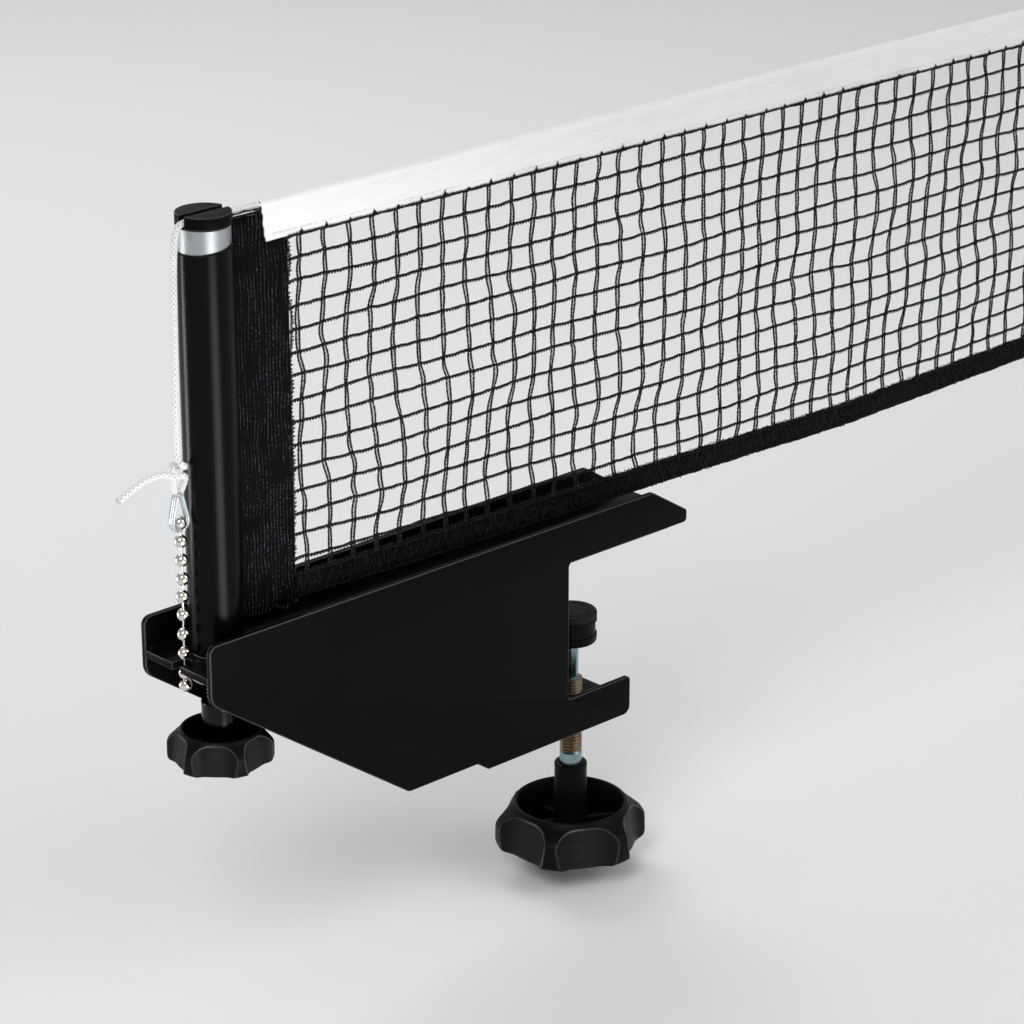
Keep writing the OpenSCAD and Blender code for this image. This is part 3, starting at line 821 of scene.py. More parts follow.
class NETCLAMP_OT_cord(bpy.types.Operator):
    """Makes the tensioning cord with its knot and loose tail, and the loop at its far end"""

    bl_idname = "net_clamp.cord"
    bl_label = "Tensioning Cord"

    def execute(self, context):
        light, dark = finishes().cord, srgb("#c9c9c6")
        white = fibre("braided polyester cord", light, dark, grain_mm=0.35, sheen=0.08, depth_mm=0.03)
        tape_x, side, over = high("tension_cord")
        thick = 2 * side
        z = over - thick / 2
        chain_x, base, top, _ = turned_solid("cord_knot")
        cap_x = low("post_cap")[0]
        tail = low("cord_tail")[0]
        route = [
            (tape_x, 0, z),
            (cap_x + 22, 0, z + 0.05),
            (cap_x + 13, 0, z),
            (cap_x + 5, 0, z + 0.05),
            (cap_x + 0.6, 0, z),
            (cap_x - 1.0, 0, z - 0.9),
            (cap_x - 2.2, -0.1, z - 3.4),
            (cap_x - 2.9, -0.1, z - 8),
            (cap_x - 3.3, 0, z - 15),
            (cap_x - 3.5, 0.1, z - 28),
            (cap_x - 3.9, 0, z - 45),
            (chain_x, 0, z - 62),
            (chain_x + 0.1, 0, top + 1.2),
            # once round itself, down one side, through the clip's eye and up the other
            (chain_x + 0.6, -1.5, top - 1.4),
            (chain_x + 2.2, -0.6, top - 2.4),
            (chain_x + 1.6, 1.4, top - 2.6),
            (chain_x - 0.6, 1.8, top - 2.2),
            (chain_x - 2.1, 0.2, top - 2.6),
            (chain_x - 1.8, -1.4, top - 4.4),
            (chain_x + 0.4, -1.9, top - 4.8),
            (chain_x + 2.0, -0.9, top - 6.2),
            (chain_x + 1.7, 0.2, base + 1.6),
            (chain_x + 0.2, 0.4, base - 0.3),
            (chain_x - 1.6, 0.2, base + 1.4),
            (chain_x - 2.4, -0.6, base + 4.2),
            (chain_x - 3.2, -1.2, top - 4.6),
            (chain_x - 6.4, -0.9, top - 3.1),
            (chain_x - 10.5, -0.5, top - 3.0),
            (chain_x - 15, -0.3, top - 4.0),
            (chain_x - 19, -0.1, top - 5.6),
            (tail + 1.2, 0, top - 7.6),
        ]
        cord, line, long = braid(route, thick, parts().braid / MM, white, "braided_cord")
        frayed = self.frayed_end(line[-1], line[-1] - line[-6], thick, white)
        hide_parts("tension_cord", "cord_knot", "cord_tail")
        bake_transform(cord)
        placed(frayed, "bracket", "white_cord")
        self.loop(thick, white)
        return {"FINISHED"}

    def frayed_end(self, tip, ahead, thick, white):
        """Loose fibres where the cord was cut."""
        rng = np.random.default_rng(7)
        ahead = ahead / np.linalg.norm(ahead)
        lines = []
        for _ in range(26):
            off = rng.normal(0, thick * 0.2, 3)
            lean = ahead + rng.normal(0, 0.22, 3)
            reach = rng.uniform(0.6, 1.7)
            start = tip + off - ahead * 0.8
            lines.append([start, start + lean * reach * 0.6, start + lean * reach + (0, 0, -0.15 * reach)])
        return yarns("cord_frayed_end", lines, 0.12, 3, white)

    def loop(self, thick, white):
        """Out of the tape's far end, round the other post's hook and back into its knot."""
        start, far, z = low("far_loop"), high("far_loop"), middle("far_loop")[2]
        ring = (far[2] - start[2]) / 2 - thick / 2
        centre = far[0] - thick / 2 - ring
        knot = start[0] + 2.6
        route = [
            (start[0], 0, z),
            (start[0] + 1.4, 0, z),
            (knot, -1.2, z + 0.9),
            (knot + 0.9, 0.4, z + 1.3),
            (knot + 0.4, 1.4, z - 0.2),
            (knot - 0.8, 0.6, z - 1.2),
            (knot, -0.9, z - 0.8),
            (knot + 1.8, -0.3, z),
        ]
        for a in np.radians(range(150, -151, -25)):
            route.append((centre + ring * math.cos(a), 0.25 * math.sin(a), z + ring * math.sin(a)))
        route.append((knot + 1.4, 0.5, z - 0.6))
        cord, line, long = braid(route, thick, parts().braid / MM, white, "cord_far_loop")
        placed(cord, "post", "white_cord", "far_loop")


# Bracket


class NETCLAMP_OT_bracket(bpy.types.Operator):
    """Makes the coated plates and webs with their rounded edges and tack welds"""

    bl_idname = "net_clamp.bracket"
    bl_label = "Bracket"

    def execute(self, context):
        coat = powder_coat("black satin powder coat", finishes().coat, (0.34, 0.5), gloss=0.04)
        # the rounding of each plate and web takes this lighter coat, a painted edge highlight
        edge = powder_coat("powder coat with painted edge highlights", finishes().coat_edge_highlight, (0.26, 0.36), gloss=0.25)
        width = parts().edge / MM
        for name, node in (
            ("coated_plate_near", "side_plate_near"),
            ("coated_plate_far", "side_plate_far"),
            ("coated_tray", "upper_web"),
            ("coated_lower_web", "lower_web"),
        ):
            placed(bevelled(name, node, width, coat, edge), "bracket", "painted_steel", node)
        placed(self.welds(coat), "bracket", "painted_steel", "weld_beads")
        return {"FINISHED"}

    def welds(self, coat):
        """Lumpy tacks in the corners of the tray, under the same coat."""
        size, inset, longer, lumps = 1.5, 0.5, 1.25, 0.25
        points, faces = [], []
        for side in (-1, 1):
            centre = middle("weld_beads")[0], side * (high("weld_beads")[1] - inset), low("weld_beads")[2]
            ball = bmesh.new()
            bmesh.ops.create_icosphere(ball, subdivisions=3, radius=size)
            first = len(points)
            for v in ball.verts:
                lump = 1 + lumps * noise.noise(v.co * 1.3 + Vector((side * 5, 0, 0)))
                points.append([c + p * lump * k for c, p, k in zip(centre, v.co, (longer, 1, 1))])
            faces.extend([first + v.index for v in f.verts] for f in ball.faces)
            ball.free()
        return mesh_piece("coated_tack_welds", points, faces, coat, sharp=80)


class NETCLAMP_OT_nuts(bpy.types.Operator):
    """Makes the round nut, the hexagon nut, the post's guide and plug, and the retaining clips"""

    bl_idname = "net_clamp.nuts"
    bl_label = "Nuts, Guide and Clips"

    def execute(self, context):
        zinc = zinc_plate("bright zinc plate", finishes().zinc, roughness=0.24)
        coat = bpy.data.materials["black satin powder coat"]
        # the lighter coat is a painted edge highlight
        edge = bpy.data.materials["powder coat with painted edge highlights"]
        placed(self.round_nut(zinc), "bracket", "zinc_steel", "height_nut")
        for name, node, body, rounding in (
            ("guide_tube", "post_guide", "bracket", 0.4),
            ("lifting_plug", "post_plug", "post", 0.5),
            ("height_clip_ring", "height_clip", "height_screw", 0.12),
            ("foot_clip_ring", "foot_clip", "clamp_screw", 0.12),
        ):
            placed(bevelled(name, node, rounding, zinc, segments=2), body, "zinc_steel", node)
        placed(self.hexagon_nut(coat, edge), "bracket", "zinc_steel", "clamp_nut")
        return {"FINISHED"}

    def round_nut(self, zinc):
        """A turned collar with grooves round its wall and a stepped face."""
        x, base, top, r = turned_solid("height_nut")
        bore, corner = high("height_screw")[1] + 0.06, 0.5
        face = [(r - 3.4, 0), (r - 3.1, 0.35), (r - 2.5, 0.35), (r - 2.2, 0), (r - 0.6, 0), (r, corner)]
        profile = [(bore, base + corner), (bore + corner, base), *((out, base + z) for out, z in face)]
        for z in np.linspace(base + 1.5, top - 1.6, 3):
            profile += [(r, z - 0.4), (r - 0.3, z - 0.2), (r - 0.3, z + 0.2), (r, z + 0.4)]
        profile += [(r, top - corner), (r - corner, top), (bore + corner, top), (bore, top - corner)]
        profile.append(profile[0])
        return turned_piece("round_nut", profile, x, zinc, turns=96, sharp=25)

    def hexagon_nut(self, coat, edge):
        """A hexagon whose corners are turned off by a cone at each end."""
        x, base, top, flat = turned_solid("clamp_nut")
        bore, corner = high("clamp_screw")[1] + 0.05, 0.5
        # the cone starts just inside the flats and falls at 30 degrees; its edge is rubbed off a little
        cone, slope, rubbed, turns = flat * 0.97, 0.577, 0.12, 144
        points = []
        for a in np.arange(turns) * math.tau / turns:
            across = flat / math.cos((a - math.pi / 6) % (math.pi / 3) - math.pi / 6)
            drop = (across - cone) * slope
            upper = [(bore + corner, 0), (cone, 0), (across - rubbed, drop), (across, drop + rubbed)]
            profile = [(r, top - z) for r, z in upper] + [(r, base + z) for r, z in reversed(upper)]
            profile += [(bore, base + corner), (bore, top - corner)]
            points += [(x + r * math.cos(a), r * math.sin(a), z) for r, z in profile]
        faces = quads(turns, len(profile), ring=True, closed=True)
        # edge is the coat with painted edge highlights; every face here keeps the first material
        return closed_piece("hexagon_nut", points, faces, coat, edge, sharp=25)


class NETCLAMP_OT_rubber(bpy.types.Operator):
    """Makes the jaw's rubber pad and the foot's facing"""

    bl_idname = "net_clamp.rubber"
    bl_label = "Rubber Pads"

    def execute(self, context):
        rubber = matt_rubber(finishes().rubber)
        pad = bevelled("jaw_pad_rubber", "upper_jaw_pad", 0.8, rubber)
        placed(pad, "bracket", "black_rubber", "upper_jaw_pad")
        x, base, top, r = turned_solid("foot_facing")
        profile = [(0, base), (r - 0.3, base), (r, base + 0.3), *arc((r - 0.7, top - 0.7), 0.7, 0, 90, 4)]
        # a shallow groove round its face
        profile += [(r * 0.72, top), (r * 0.7, top - 0.25), (r * 0.66, top - 0.25), (r * 0.64, top), (0, top)]
        disc = turned_piece("foot_facing_rubber", profile, x, rubber)
        placed(disc, "clamp_foot", "black_rubber", "foot_facing")
        return {"FINISHED"}


# Post


class NETCLAMP_OT_post(bpy.types.Operator):
    """Makes the steel post, its plastic sleeve and its slotted cap"""

    bl_idname = "net_clamp.post"
    bl_label = "Post, Sleeve and Cap"

    def execute(self, context):
        drawn = (1, 1, 0.5)
        steel = zinc_plate("bright zinc tube", srgb("#b9bcbe"), roughness=0.4, stretch=drawn, dents=0.03)
        x, base, top, r = turned_solid("post_tube")
        wall = 1.2
        profile = [(r - wall, base), (r - 0.2, base), (r, base + 0.2)]
        profile += [(r, top - 0.3), (r - 0.3, top), (r - wall, top), (r - wall, base)]
        steel_tube = turned_piece("zinc_tube", profile, x, steel, turns=96)
        placed(steel_tube, "post", "zinc_steel", "post_tube")
        placed(self.sleeve(x), "post", "sleeve_plastic", "post_sleeve")
        # the cap comes from a smoother mould, and its rims take a lighter grey: a painted highlight
        smooth = moulded_nylon("polished black nylon", srgb("#030303"), roughness=0.5, gloss=0.12)
        rim = moulded_nylon("nylon with painted rim highlights", srgb("#2c2c2e"), roughness=0.3, gloss=0.3)
        cap = bevelled("slotted_cap", "post_cap", 0.35, smooth, rim, angle=35)
        placed(cap, "post", "black_plastic", "post_cap")
        return {"FINISHED"}

    def sleeve(self, x):
        """A slit tube whose top edge rises towards the net; the slit's edges grip the side band."""
        _, base, top, outer = turned_solid("post_sleeve")
        inner = high("post_tube")[1] + 0.05
        rise, half_slit = 2.4, math.asin(0.95 / outer)
        points = []
        angles = np.linspace(half_slit, math.tau - half_slit, 120)
        for a in angles:
            end = top - rise / 2 + rise / 2 * math.cos(a)
            ring = [(inner, base), (outer - 0.12, base), (outer, base + 0.15)]
            ring += [(outer, end - 0.3), (outer - 0.1, end - 0.08), (outer - 0.25, end), (inner, end)]
            points.extend((x + r * math.cos(a), r * math.sin(a), z) for r, z in ring)
        n = len(ring)
        last = len(points) - n
        faces = quads(len(angles), n, ring=True) + [tuple(reversed(range(n))), tuple(range(last, last + n))]
        return closed_piece("glossy_sleeve", points, faces, extruded_sleeve(finishes().sleeve), sharp=20)


# Screws, knobs and foot


def screw(name, x, thread_low, thread_high, radius, ends, thread_mat, plain_mat):
    """A threaded length between plain turned ends, as one closed piece."""
    values = {
        "Radius": radius * MM,
        "Depth": parts().thread_depth,
        "Pitch": parts().pitch,
        "Length": (thread_high - thread_low) * MM,
        "Start": (x * MM, 0, thread_low * MM),
        "Material": thread_mat,
    }
    thread = outward(grown(name + "_thread", trees["thread"], values), 1e-6)
    finish_mesh(thread, sharp=60)
    plain = [turned_piece(f"{name}_end", profile, x, plain_mat, turns=48) for profile in ends]
    return joined(name, thread, *plain)


class NETCLAMP_OT_screws(bpy.types.Operator):
    """Makes the clamp screw and the height screw with real threads"""

    bl_idname = "net_clamp.screws"
    bl_label = "Screws"

    def execute(self, context):
        # the thread is brownish, and the plain turned ends pale blue
        brownish_zinc = zinc_plate("brownish zinc on the thread", finishes().thread, roughness=0.34)
        blue = zinc_plate("pale blue zinc", finishes().shank, roughness=0.26)
        zinc = bpy.data.materials["bright zinc plate"]
        x, base, top, r = turned_solid("clamp_screw")
        hub = high("clamp_knob")[2]
        shoulder, seat = low("clamp_foot")[2] - 14, low("clamp_foot")[2] + 4
        # the foot turns on a pin, and the clip sits in the groove near its end
        pin, groove = 2.5, 1.6
        below = [(0, base), (r, base), (r, hub + 4.2), (r - 0.6, hub + 4.9), (0, hub + 4.9)]
        above = [(0, shoulder - 0.6), (r - 0.9, shoulder - 0.6), (r - 1.1, shoulder), (pin, shoulder)]
        above += [(pin, seat), (groove, seat), (groove, top - 0.3), (groove - 0.3, top), (0, top)]
        clamp = screw("clamp_screw_turned", x, hub + 4.6, shoulder - 0.3, r, (below, above), brownish_zinc, blue)
        placed(clamp, "clamp_screw", "zinc_steel", "clamp_screw")

        x, base, top, r = turned_solid("height_screw")
        hub, step, tip = high("height_knob")[2], low("post_plug")[2], 3
        below = [(0, base), (r, base), (r, hub + 0.6), (r - 0.5, hub + 1.1), (0, hub + 1.1)]
        above = [(0, step - 4), (r - 0.5, step - 4), (r, step - 3.5), (r, step), (tip, step)]
        above += [(tip, top - 0.5), (tip - 0.5, top), (0, top)]
        height = screw("height_screw_turned", x, hub + 0.8, step - 3.7, r, (below, above), zinc, zinc)
        placed(height, "height_screw", "zinc_steel", "height_screw")
        return {"FINISHED"}


class StarKnob:
    """A star knob's skin: finger scoops cut into a turned body, a cup, a flared hub and ribs."""

    # radius and height of the turned body, from its underside over the falling shoulder to the cup's edge
    BODY = [
        (24.0, 0), (25.8, 0.15), (26.9, 0.9), (27.4, 2.2), (27.5, 4), (27.5, 8.2), (27.2, 9.6),
        (26.3, 10.9), (24.9, 12.1), (23.2, 13.4), (21.8, 14.5), (20.9, 15.5), (20.4, 16.15), (19.9, 16.3),
    ]
    RADIUS, RIM = 27.5, 16.3
    # a scoop's own radius and its floor's distance from the axis, as shares of the knob's radius
    SCOOP, FLOOR = 1.12, 0.858
    # a scoop's lean in degrees, how square its floor is, and the rounding of its rim in millimetres
    LEAN, FLATTEN, EDGE = 7.2, 1.7, 0.5

    def __init__(self, node, x, turn):
        self.x = x
        self.turn = math.radians(turn)
        self.low, self.high = low(node)[2], high(node)[2]
        self.lobes = parts().lobes

    def scoop(self, radius, share, z):
        """Distance from the axis to a scoop's wall: a round scoop with a flattened floor."""
        wall, deepest = self.round_scoop(radius, share, z), self.round_scoop(radius, 0, z)
        if wall >= radius or deepest >= radius:
            return wall
        depth = radius - deepest
        return deepest + depth * max(0.0, (wall - deepest) / depth) ** self.FLATTEN

    def round_scoop(self, radius, share, z):
        """Distance from the axis to a leaning round cut, at an angle from its middle and at a height."""
        c, s = math.cos(math.radians(self.LEAN)), math.sin(math.radians(self.LEAN))
        own = self.SCOOP * radius * 6 / self.lobes
        q = z * s - self.FLOOR * radius * c - own
        square = (c * math.cos(share)) ** 2 + math.sin(share) ** 2
        inside = (q * c * math.cos(share)) ** 2 - square * (q * q - own * own)
        if inside < 0:
            return 2 * radius
        wall = (-q * c * math.cos(share) - math.sqrt(inside)) / square
        return wall - 0.45 * max(0, 1 - z / (0.05 * radius)) ** 2

    def build(self, name, radius, rim_h, hub_r, material, hub_material):
        """The whole knob, with how much painted highlight each point takes as an attribute."""
        wide, tall = radius / self.RADIUS, rim_h / self.RIM
        body = curve_through([(r * wide, z * tall) for r, z in self.BODY], 5)
        cup, floor, hub_top = body[-1][0], 0.2 * rim_h, self.high - self.low
        bore = 4.0
        # down the cup's wall, over its floor and up the hub
        inner = [(cup - 0.35, rim_h - 0.08), (cup - 0.7, rim_h - 0.5), (cup - 1, rim_h * 0.6)]
        inner += [(cup - 1.3, floor + 1.2), (cup - 1.6, floor + 0.4), (cup - 2.4, floor)]
        inner += [(hub_r + 1.6, floor), (hub_r + 0.8, floor + 0.3), (hub_r + 0.5, floor + 1.2)]
        inner += [(hub_r + 0.2, rim_h), (hub_r, hub_top - 2.5), (hub_r + 0.12, hub_top - 0.7)]
        inner += [(hub_r - 0.1, hub_top - 0.15), (hub_r - 0.5, hub_top), (bore + 0.3, hub_top)]
        inner.append((bore, hub_top - 0.4))
        edge = self.EDGE * (0.4 + 0.6 * wide)
        points, rubbed = [], []
        half = math.pi / self.lobes
        for k in range(self.lobes):
            for share in np.linspace(-half, half, 73)[:-1]:
                row = []
                for r, z in body:
                    wall = self.scoop(radius, share, z)
                    apart = abs(r - wall)
                    row.append((min(r, wall) - max(edge - apart, 0) ** 2 / (4 * edge), z))
                    # painted highlight along the scoop's rim, uneven, and a faint painted highlight in the
                    # middle of each scoop
                    reach = edge * (0.7 + 0.5 * (share / half) ** 2)
                    line = max(0, 1 - apart / reach) * min(1, z / (0.06 * radius))
                    line *= 0.66 + 0.34 * math.sin(7 * share + 2.3 * k + 4.5 * z / radius)
                    scoop_highlight = 0.09 * wide * math.cos(share / half * 1.2) ** 2 if wall < r else 0
                    rubbed.append(max((0.15 + 0.75 * wide) * line, scoop_highlight))
                rubbed += [0.0] * len(inner)
                turn = share + self.turn + 2 * half * k
                c, s = math.cos(turn), math.sin(turn)
                points += [(self.x + r * c, r * s, self.low + z) for r, z in row + inner]
        n = len(body) + len(inner)
        turns = len(points) // n
        faces = quads(turns, n, closed=True)
        hub = len(body) + 8
        on_hub = [corner % n > hub for _, corner, _, _ in faces]
        for z, j in ((self.low, 0), (self.high - 0.6, n - 1)):
            faces += [(len(points), k * n + j, (k + 1) % turns * n + j) for k in range(turns)]
            points.append((self.x, 0, z))
            rubbed.append(0.0)
        shell = mesh_piece(name, points, faces, material, hub_material)
        for face, there in zip(shell.data.polygons, on_hub):
            face.material_index = int(there)
        # the rubbed attribute holds how much painted highlight each point takes
        shell.data.attributes.new("rubbed", "FLOAT", "POINT").data.foreach_set("value", rubbed)
        shell = finish_mesh(outward(shell), sharp=50)
        return joined(name, shell, self.ribs(name, cup - 1.2, floor, hub_r, rim_h * 0.56, material))

    def ribs(self, name, cup, floor, hub_r, top, material):
        """Thin ribs from the hub to the cup's wall, rounded on top."""
        foot, edge = floor - 0.4, top - 0.35
        section = [(-0.8, foot), (-0.7, edge), (-0.35, top), (0.35, top), (0.7, edge), (0.8, foot)]
        stations = (hub_r - 0.4, hub_r + 1.6, cup - 1.6, cup + 0.4)
        n, rows = len(section), len(stations)
        points, faces = [], []
        for k in range(self.lobes):
            a = self.turn + math.tau * (k + 0.5) / self.lobes
            first, last = len(points), len(points) + n * (rows - 1)
            for r in stations:
                for w, z in section:
                    x, y = r * math.cos(a) - w * math.sin(a), r * math.sin(a) + w * math.cos(a)
                    points.append((self.x + x, y, self.low + z))
            faces += quads(rows, n, ring=True, first=first)
            faces += [tuple(reversed(range(first, first + n))), tuple(range(last, last + n))]
        return closed_piece(name + "_ribs", points, faces, material)


class NETCLAMP_OT_knobs(bpy.types.Operator):
    """Makes both star knobs"""

    bl_idname = "net_clamp.knobs"
    bl_label = "Star Knobs"

    def execute(self, context):
        nylon = moulded_nylon("moulded black nylon", finishes().nylon, roughness=0.42, gloss=0.18)
        big = StarKnob("clamp_knob", middle("clamp_screw")[0], 60.5)
        piece = big.build("clamp_knob_moulded", big.RADIUS, big.RIM, 5.8, nylon, nylon)
        placed(piece, "clamp_screw", "black_plastic", "clamp_knob")
        small = StarKnob("height_knob", middle("height_screw")[0], 44)
        # the small knob's hub comes off a polished core and gives sharp lights
        glossy = moulded_nylon("glossy black nylon", srgb("#010102"), roughness=0.14, gloss=0.45)
        piece = small.build("height_knob_moulded", 17.5, 11.4, 5.8, nylon, glossy)
        placed(piece, "height_screw", "black_plastic", "height_knob")
        self.foot(nylon)
        return {"FINISHED"}

    def foot(self, nylon):
        """The clamp's foot: a turned disc with a waist and chamfers."""
        x, base, top, r = turned_solid("clamp_foot")
        profile = [(2.6, base), (r - 1.8, base), *arc((r - 1.0, base + 1.0), 1.0, 270, 360, 4), (r, base + 3)]
        waist = r - 0.5
        profile += [(waist, base + 3.4), (waist, top - 1.6), (r, top - 1.2), (r, top - 0.2), (r - 0.2, top)]
        # the well for the clip, and the bore for the screw's pin
        profile += [(3.7, top), (3.7, top - 3), (1.7, top - 3), (1.7, base + 4), (2.6, base + 4), (2.6, base)]
        piece = turned_piece("clamp_foot_moulded", profile, x, nylon)
        placed(piece, "clamp_foot", "black_plastic", "clamp_foot")


# Chain


class NETCLAMP_OT_chain(bpy.types.Operator):
    """Makes the ball chain and its clear clip"""

    bl_idname = "net_clamp.chain"
    bl_label = "Ball Chain and Clip"

    def execute(self, context):
        x, end, top, bead_r = turned_solid("bead_chain")
        end, top = end + bead_r, top - bead_r
        # the end bead is pushed up against the one under the notch, and a run of eight goes up from there
        notch, run = end + 2 * bead_r + 0.1, 8
        pitch = (top - notch) / run
        beads = [(x, 0, end), (x, 0, notch)]
        for k in range(1, run + 1):
            sway = math.sin(math.pi * k / run)
            rise = 0.7 * sway * (0.6 + 0.5 * wave(53, k * 0.9, 0, 0))
            aside = 0.35 * sway * wave(51, k * 0.8, 0, 0)
            beads.append((x + aside, 0.3 * sway * wave(52, k * 0.7, 0, 0), notch + pitch * k + rise))
        mesh = bpy.data.meshes.new("nickel_ball_chain")
        mesh.from_pydata([metres(p) for p in beads], [(k, k + 1) for k in range(len(beads) - 1)], [])
        nickel = nickel_plate(finishes().nickel)
        values = {"Bead radius": bead_r * 0.98 * MM, "Link radius": 0.36 * MM, "Material": nickel}
        chain = grown("nickel_ball_chain", trees["ball_chain"], values, mesh)
        placed(finish_mesh(chain, sharp=40), "bracket", "nickel", "bead_chain")
        placed(self.clip(), "bracket", "clear_plastic", "chain_clip")
        return {"FINISHED"}

    def clip(self):
        """A teardrop of clear plastic: a flat bar bent round the last bead and up to the cord's eye."""
        x, base, top, _ = turned_solid("chain_clip")
        tall, wide = top - base, 10.2
        # the bar's half thickness and half width
        thin, flat = 0.55, 1.45
        # shares of its width and height, from the bottom up
        shape = [(0, 0), (0.16, 0.03), (0.27, 0.12), (0.3, 0.28)]
        shape += [(0.25, 0.5), (0.17, 0.75), (0.1, 0.93), (0, 1)]
        side = [(w * wide, 0, h * (tall - 1.3) + 0.65) for w, h in shape]
        loop = side + [(-w * 0.92, y, h) for w, y, h in side[-2:0:-1]]
        ring = curve_through([*loop, loop[0]], 4)[:-1] + (x - 0.4, 0, base)
        count, n = len(ring), 12
        points = []
        for k in range(count):
            ahead = ring[(k + 1) % count] - ring[k - 1]
            ahead /= np.linalg.norm(ahead)
            out = np.array((ahead[2], 0, -ahead[0]))
            for w in np.arange(n) * math.tau / n:
                flank = np.array((0, flat * math.sin(w), 0))
                points.append(tuple(ring[k] + thin * math.cos(w) * out + flank))
        faces = quads(count, n, ring=True, closed=True)
        return closed_piece("clear_clip", points, faces, clear_plastic(finishes().clip), sharp=80)


# Net


def wave(seed, *at):
    """Smooth noise from about -1 to 1."""
    return 1.8 * noise.noise(Vector([*at, seed * 3.17][:3]) + Vector((seed * 1.7, seed * 0.9, seed * 2.3)))


class NetShape:
    """Where the net's yarns run, in millimetres."""

    # the hem's lower edge as (x, z), and its height
    HEM = [(-134, 16.8), (-108, 15.8), (-64, 14.2), (-19, 13.2)]
    HEM += [(50, 11.8), (156, 9.2), (264, 11.0), (296, 12.0)]
    HEM_H = 8.5

    def __init__(self):
        self.left = high("net_side_band")[0]
        self.right = low("net_far_band")[0]
        self.tape = low("net_top_tape")[2]
        self.column = net().column / MM
        self.rows = net().rows
        self.seed = net().seed
        self.count = int((self.right - self.left - 3) / self.column) + 1

    def hem_low(self, x):
        return float(np.interp(x, *zip(*self.HEM)))

    def hem_top(self, x):
        return self.hem_low(x) + self.HEM_H

    def column_x(self, i):
        return self.left + 4.3 + self.column * i

    def row_z(self, j, x):
        """Row 0 lies along the tape, and the last row just under the hem's top."""
        drop = self.tape - self.hem_top(x)
        bottom = self.hem_top(x) - 0.3 * drop / self.rows
        slack = 0.0 if j == 0 else 0.55 * wave(self.seed, x / 31, j * 0.9, 2.0)
        return self.tape - 0.5 + (bottom - self.tape) * j / self.rows + slack

    def depth(self, x, z):
        """The net's gentle ripple out of its plane."""
        held = max(0.0, math.sin(math.pi * min(1, max(0, (z - 12) / 128))))
        return 1.1 * held * wave(self.seed + 1, x / 60, z / 50, 0.5)

    def knot(self, i, j):
        """Where column i crosses row j."""
        free = min(1, j / 2) * min(1, (self.rows - j) / 1.5 + 0.35)
        lean = 2.1 * wave(self.seed, i * 0.2 + j * 0.16, j * 0.36, 7.0)
        lean += 0.5 * wave(self.seed, i * 1.3, j * 1.1, 1.0)
        x = self.column_x(i) + lean * free
        return x, self.row_z(j, x)


class NETCLAMP_OT_mesh(bpy.types.Operator):
    """Makes the net's twisted horizontal yarns and its paired vertical yarns"""

    bl_idname = "net_clamp.mesh"
    bl_label = "Net Mesh"

    def execute(self, context):
        shape = NetShape()
        # the light colour is for painted highlight specks on the yarn
        light, dark = srgb("#7a7a82"), srgb("#09090c")
        yarn = fibre("black polyester yarn", light, dark, grain_mm=0.5, sheen=0.03, highlight_flecks=0.57, gloss=0.15)
        sets = [("net_rows", self.rows(shape), net().row_yarn / MM, 4)]
        for name, side in (("net_columns_left", -1), ("net_columns_right", 1)):
            sets.append((name, self.columns(shape, side), net().column_yarn / MM, 4))
        sets.append(("net_column_stitches", self.stitches(shape), 0.17, 3))
        for name, lines, radius, sides in sets:
            placed(yarns(name, lines, radius, sides, yarn), "post", "net_mesh", "net_mesh")
        return {"FINISHED"}

    def stitches(self, shape):
        """The thin yarn that laces the two strands of each column."""
        off, per_row = 0.62, 8 / 0.62
        lines = []
        for i in range(shape.count):
            line = []
            for k in range(int(shape.rows * per_row)):
                x, z = self.pair_centre(shape, i, k / per_row)
                side = 1 if k % 2 else -1
                line.append((x + side * off, shape.depth(x, z) + 0.15 * side, z))
            lines.append(line)
        return lines

    def rows(self, shape):
        """Two plies that cross every millimetre and a half, with a gap between crossings."""
        lines = []
        for j in range(1, shape.rows):
            line = []
            for x in np.arange(shape.left - 1.5, shape.right + 1.6, 0.6):
                # the row sags a little between two columns
                share = (x - shape.column_x(0)) / shape.column
                sag = 0.22 * abs(math.sin(math.pi * share)) + 0.1 * wave(shape.seed + 7, x / 1.9, j * 1.3, 0)
                z = shape.row_z(j, x) - sag
                line.append((x, shape.depth(x, z), z))
            lines += twisted(line, 0.46, 2.5, start=j * 0.7)
        return lines

    def pair_centre(self, shape, i, t):
        """Middle of column i's pair at row t, with the bow that it takes between rows."""
        j = min(int(t), shape.rows - 1)
        share = t - j
        (x0, z0), (x1, z1) = shape.knot(i, j), shape.knot(i, j + 1)
        ease = share * share * (3 - 2 * share)
        x = x0 + (x1 - x0) * (0.4 * share + 0.6 * ease)
        x += 0.7 * math.sin(math.pi * share) * wave(shape.seed + 3, i * 0.9, j * 1.3, 4.0)
        return x, z0 + (z1 - z0) * share

    def columns(self, shape, side):
        """One strand of each column's pair: the two run side by side and close up a little at each row."""
        lines = []
        per_row = 14
        for i in range(shape.count):
            line = []
            for k in range(shape.rows * per_row + 1):
                t = k / per_row
                x, z = self.pair_centre(shape, i, t)
                j, share = int(t), t - int(t)
                gap = 0.66 + 0.12 * wave(shape.seed + 5, i * 1.1, t * 0.9, 2.0)
                off = gap - 0.12 * math.cos(math.pi * share) ** 4
                weave = 0.1 * side * (1 if j % 2 else -1) * math.cos(math.pi * share)
                line.append((x + side * off, shape.depth(x, z) + weave, z))
            lines += twisted(line, 0.24, 1.7, start=i * 1.3 + side)
        return lines


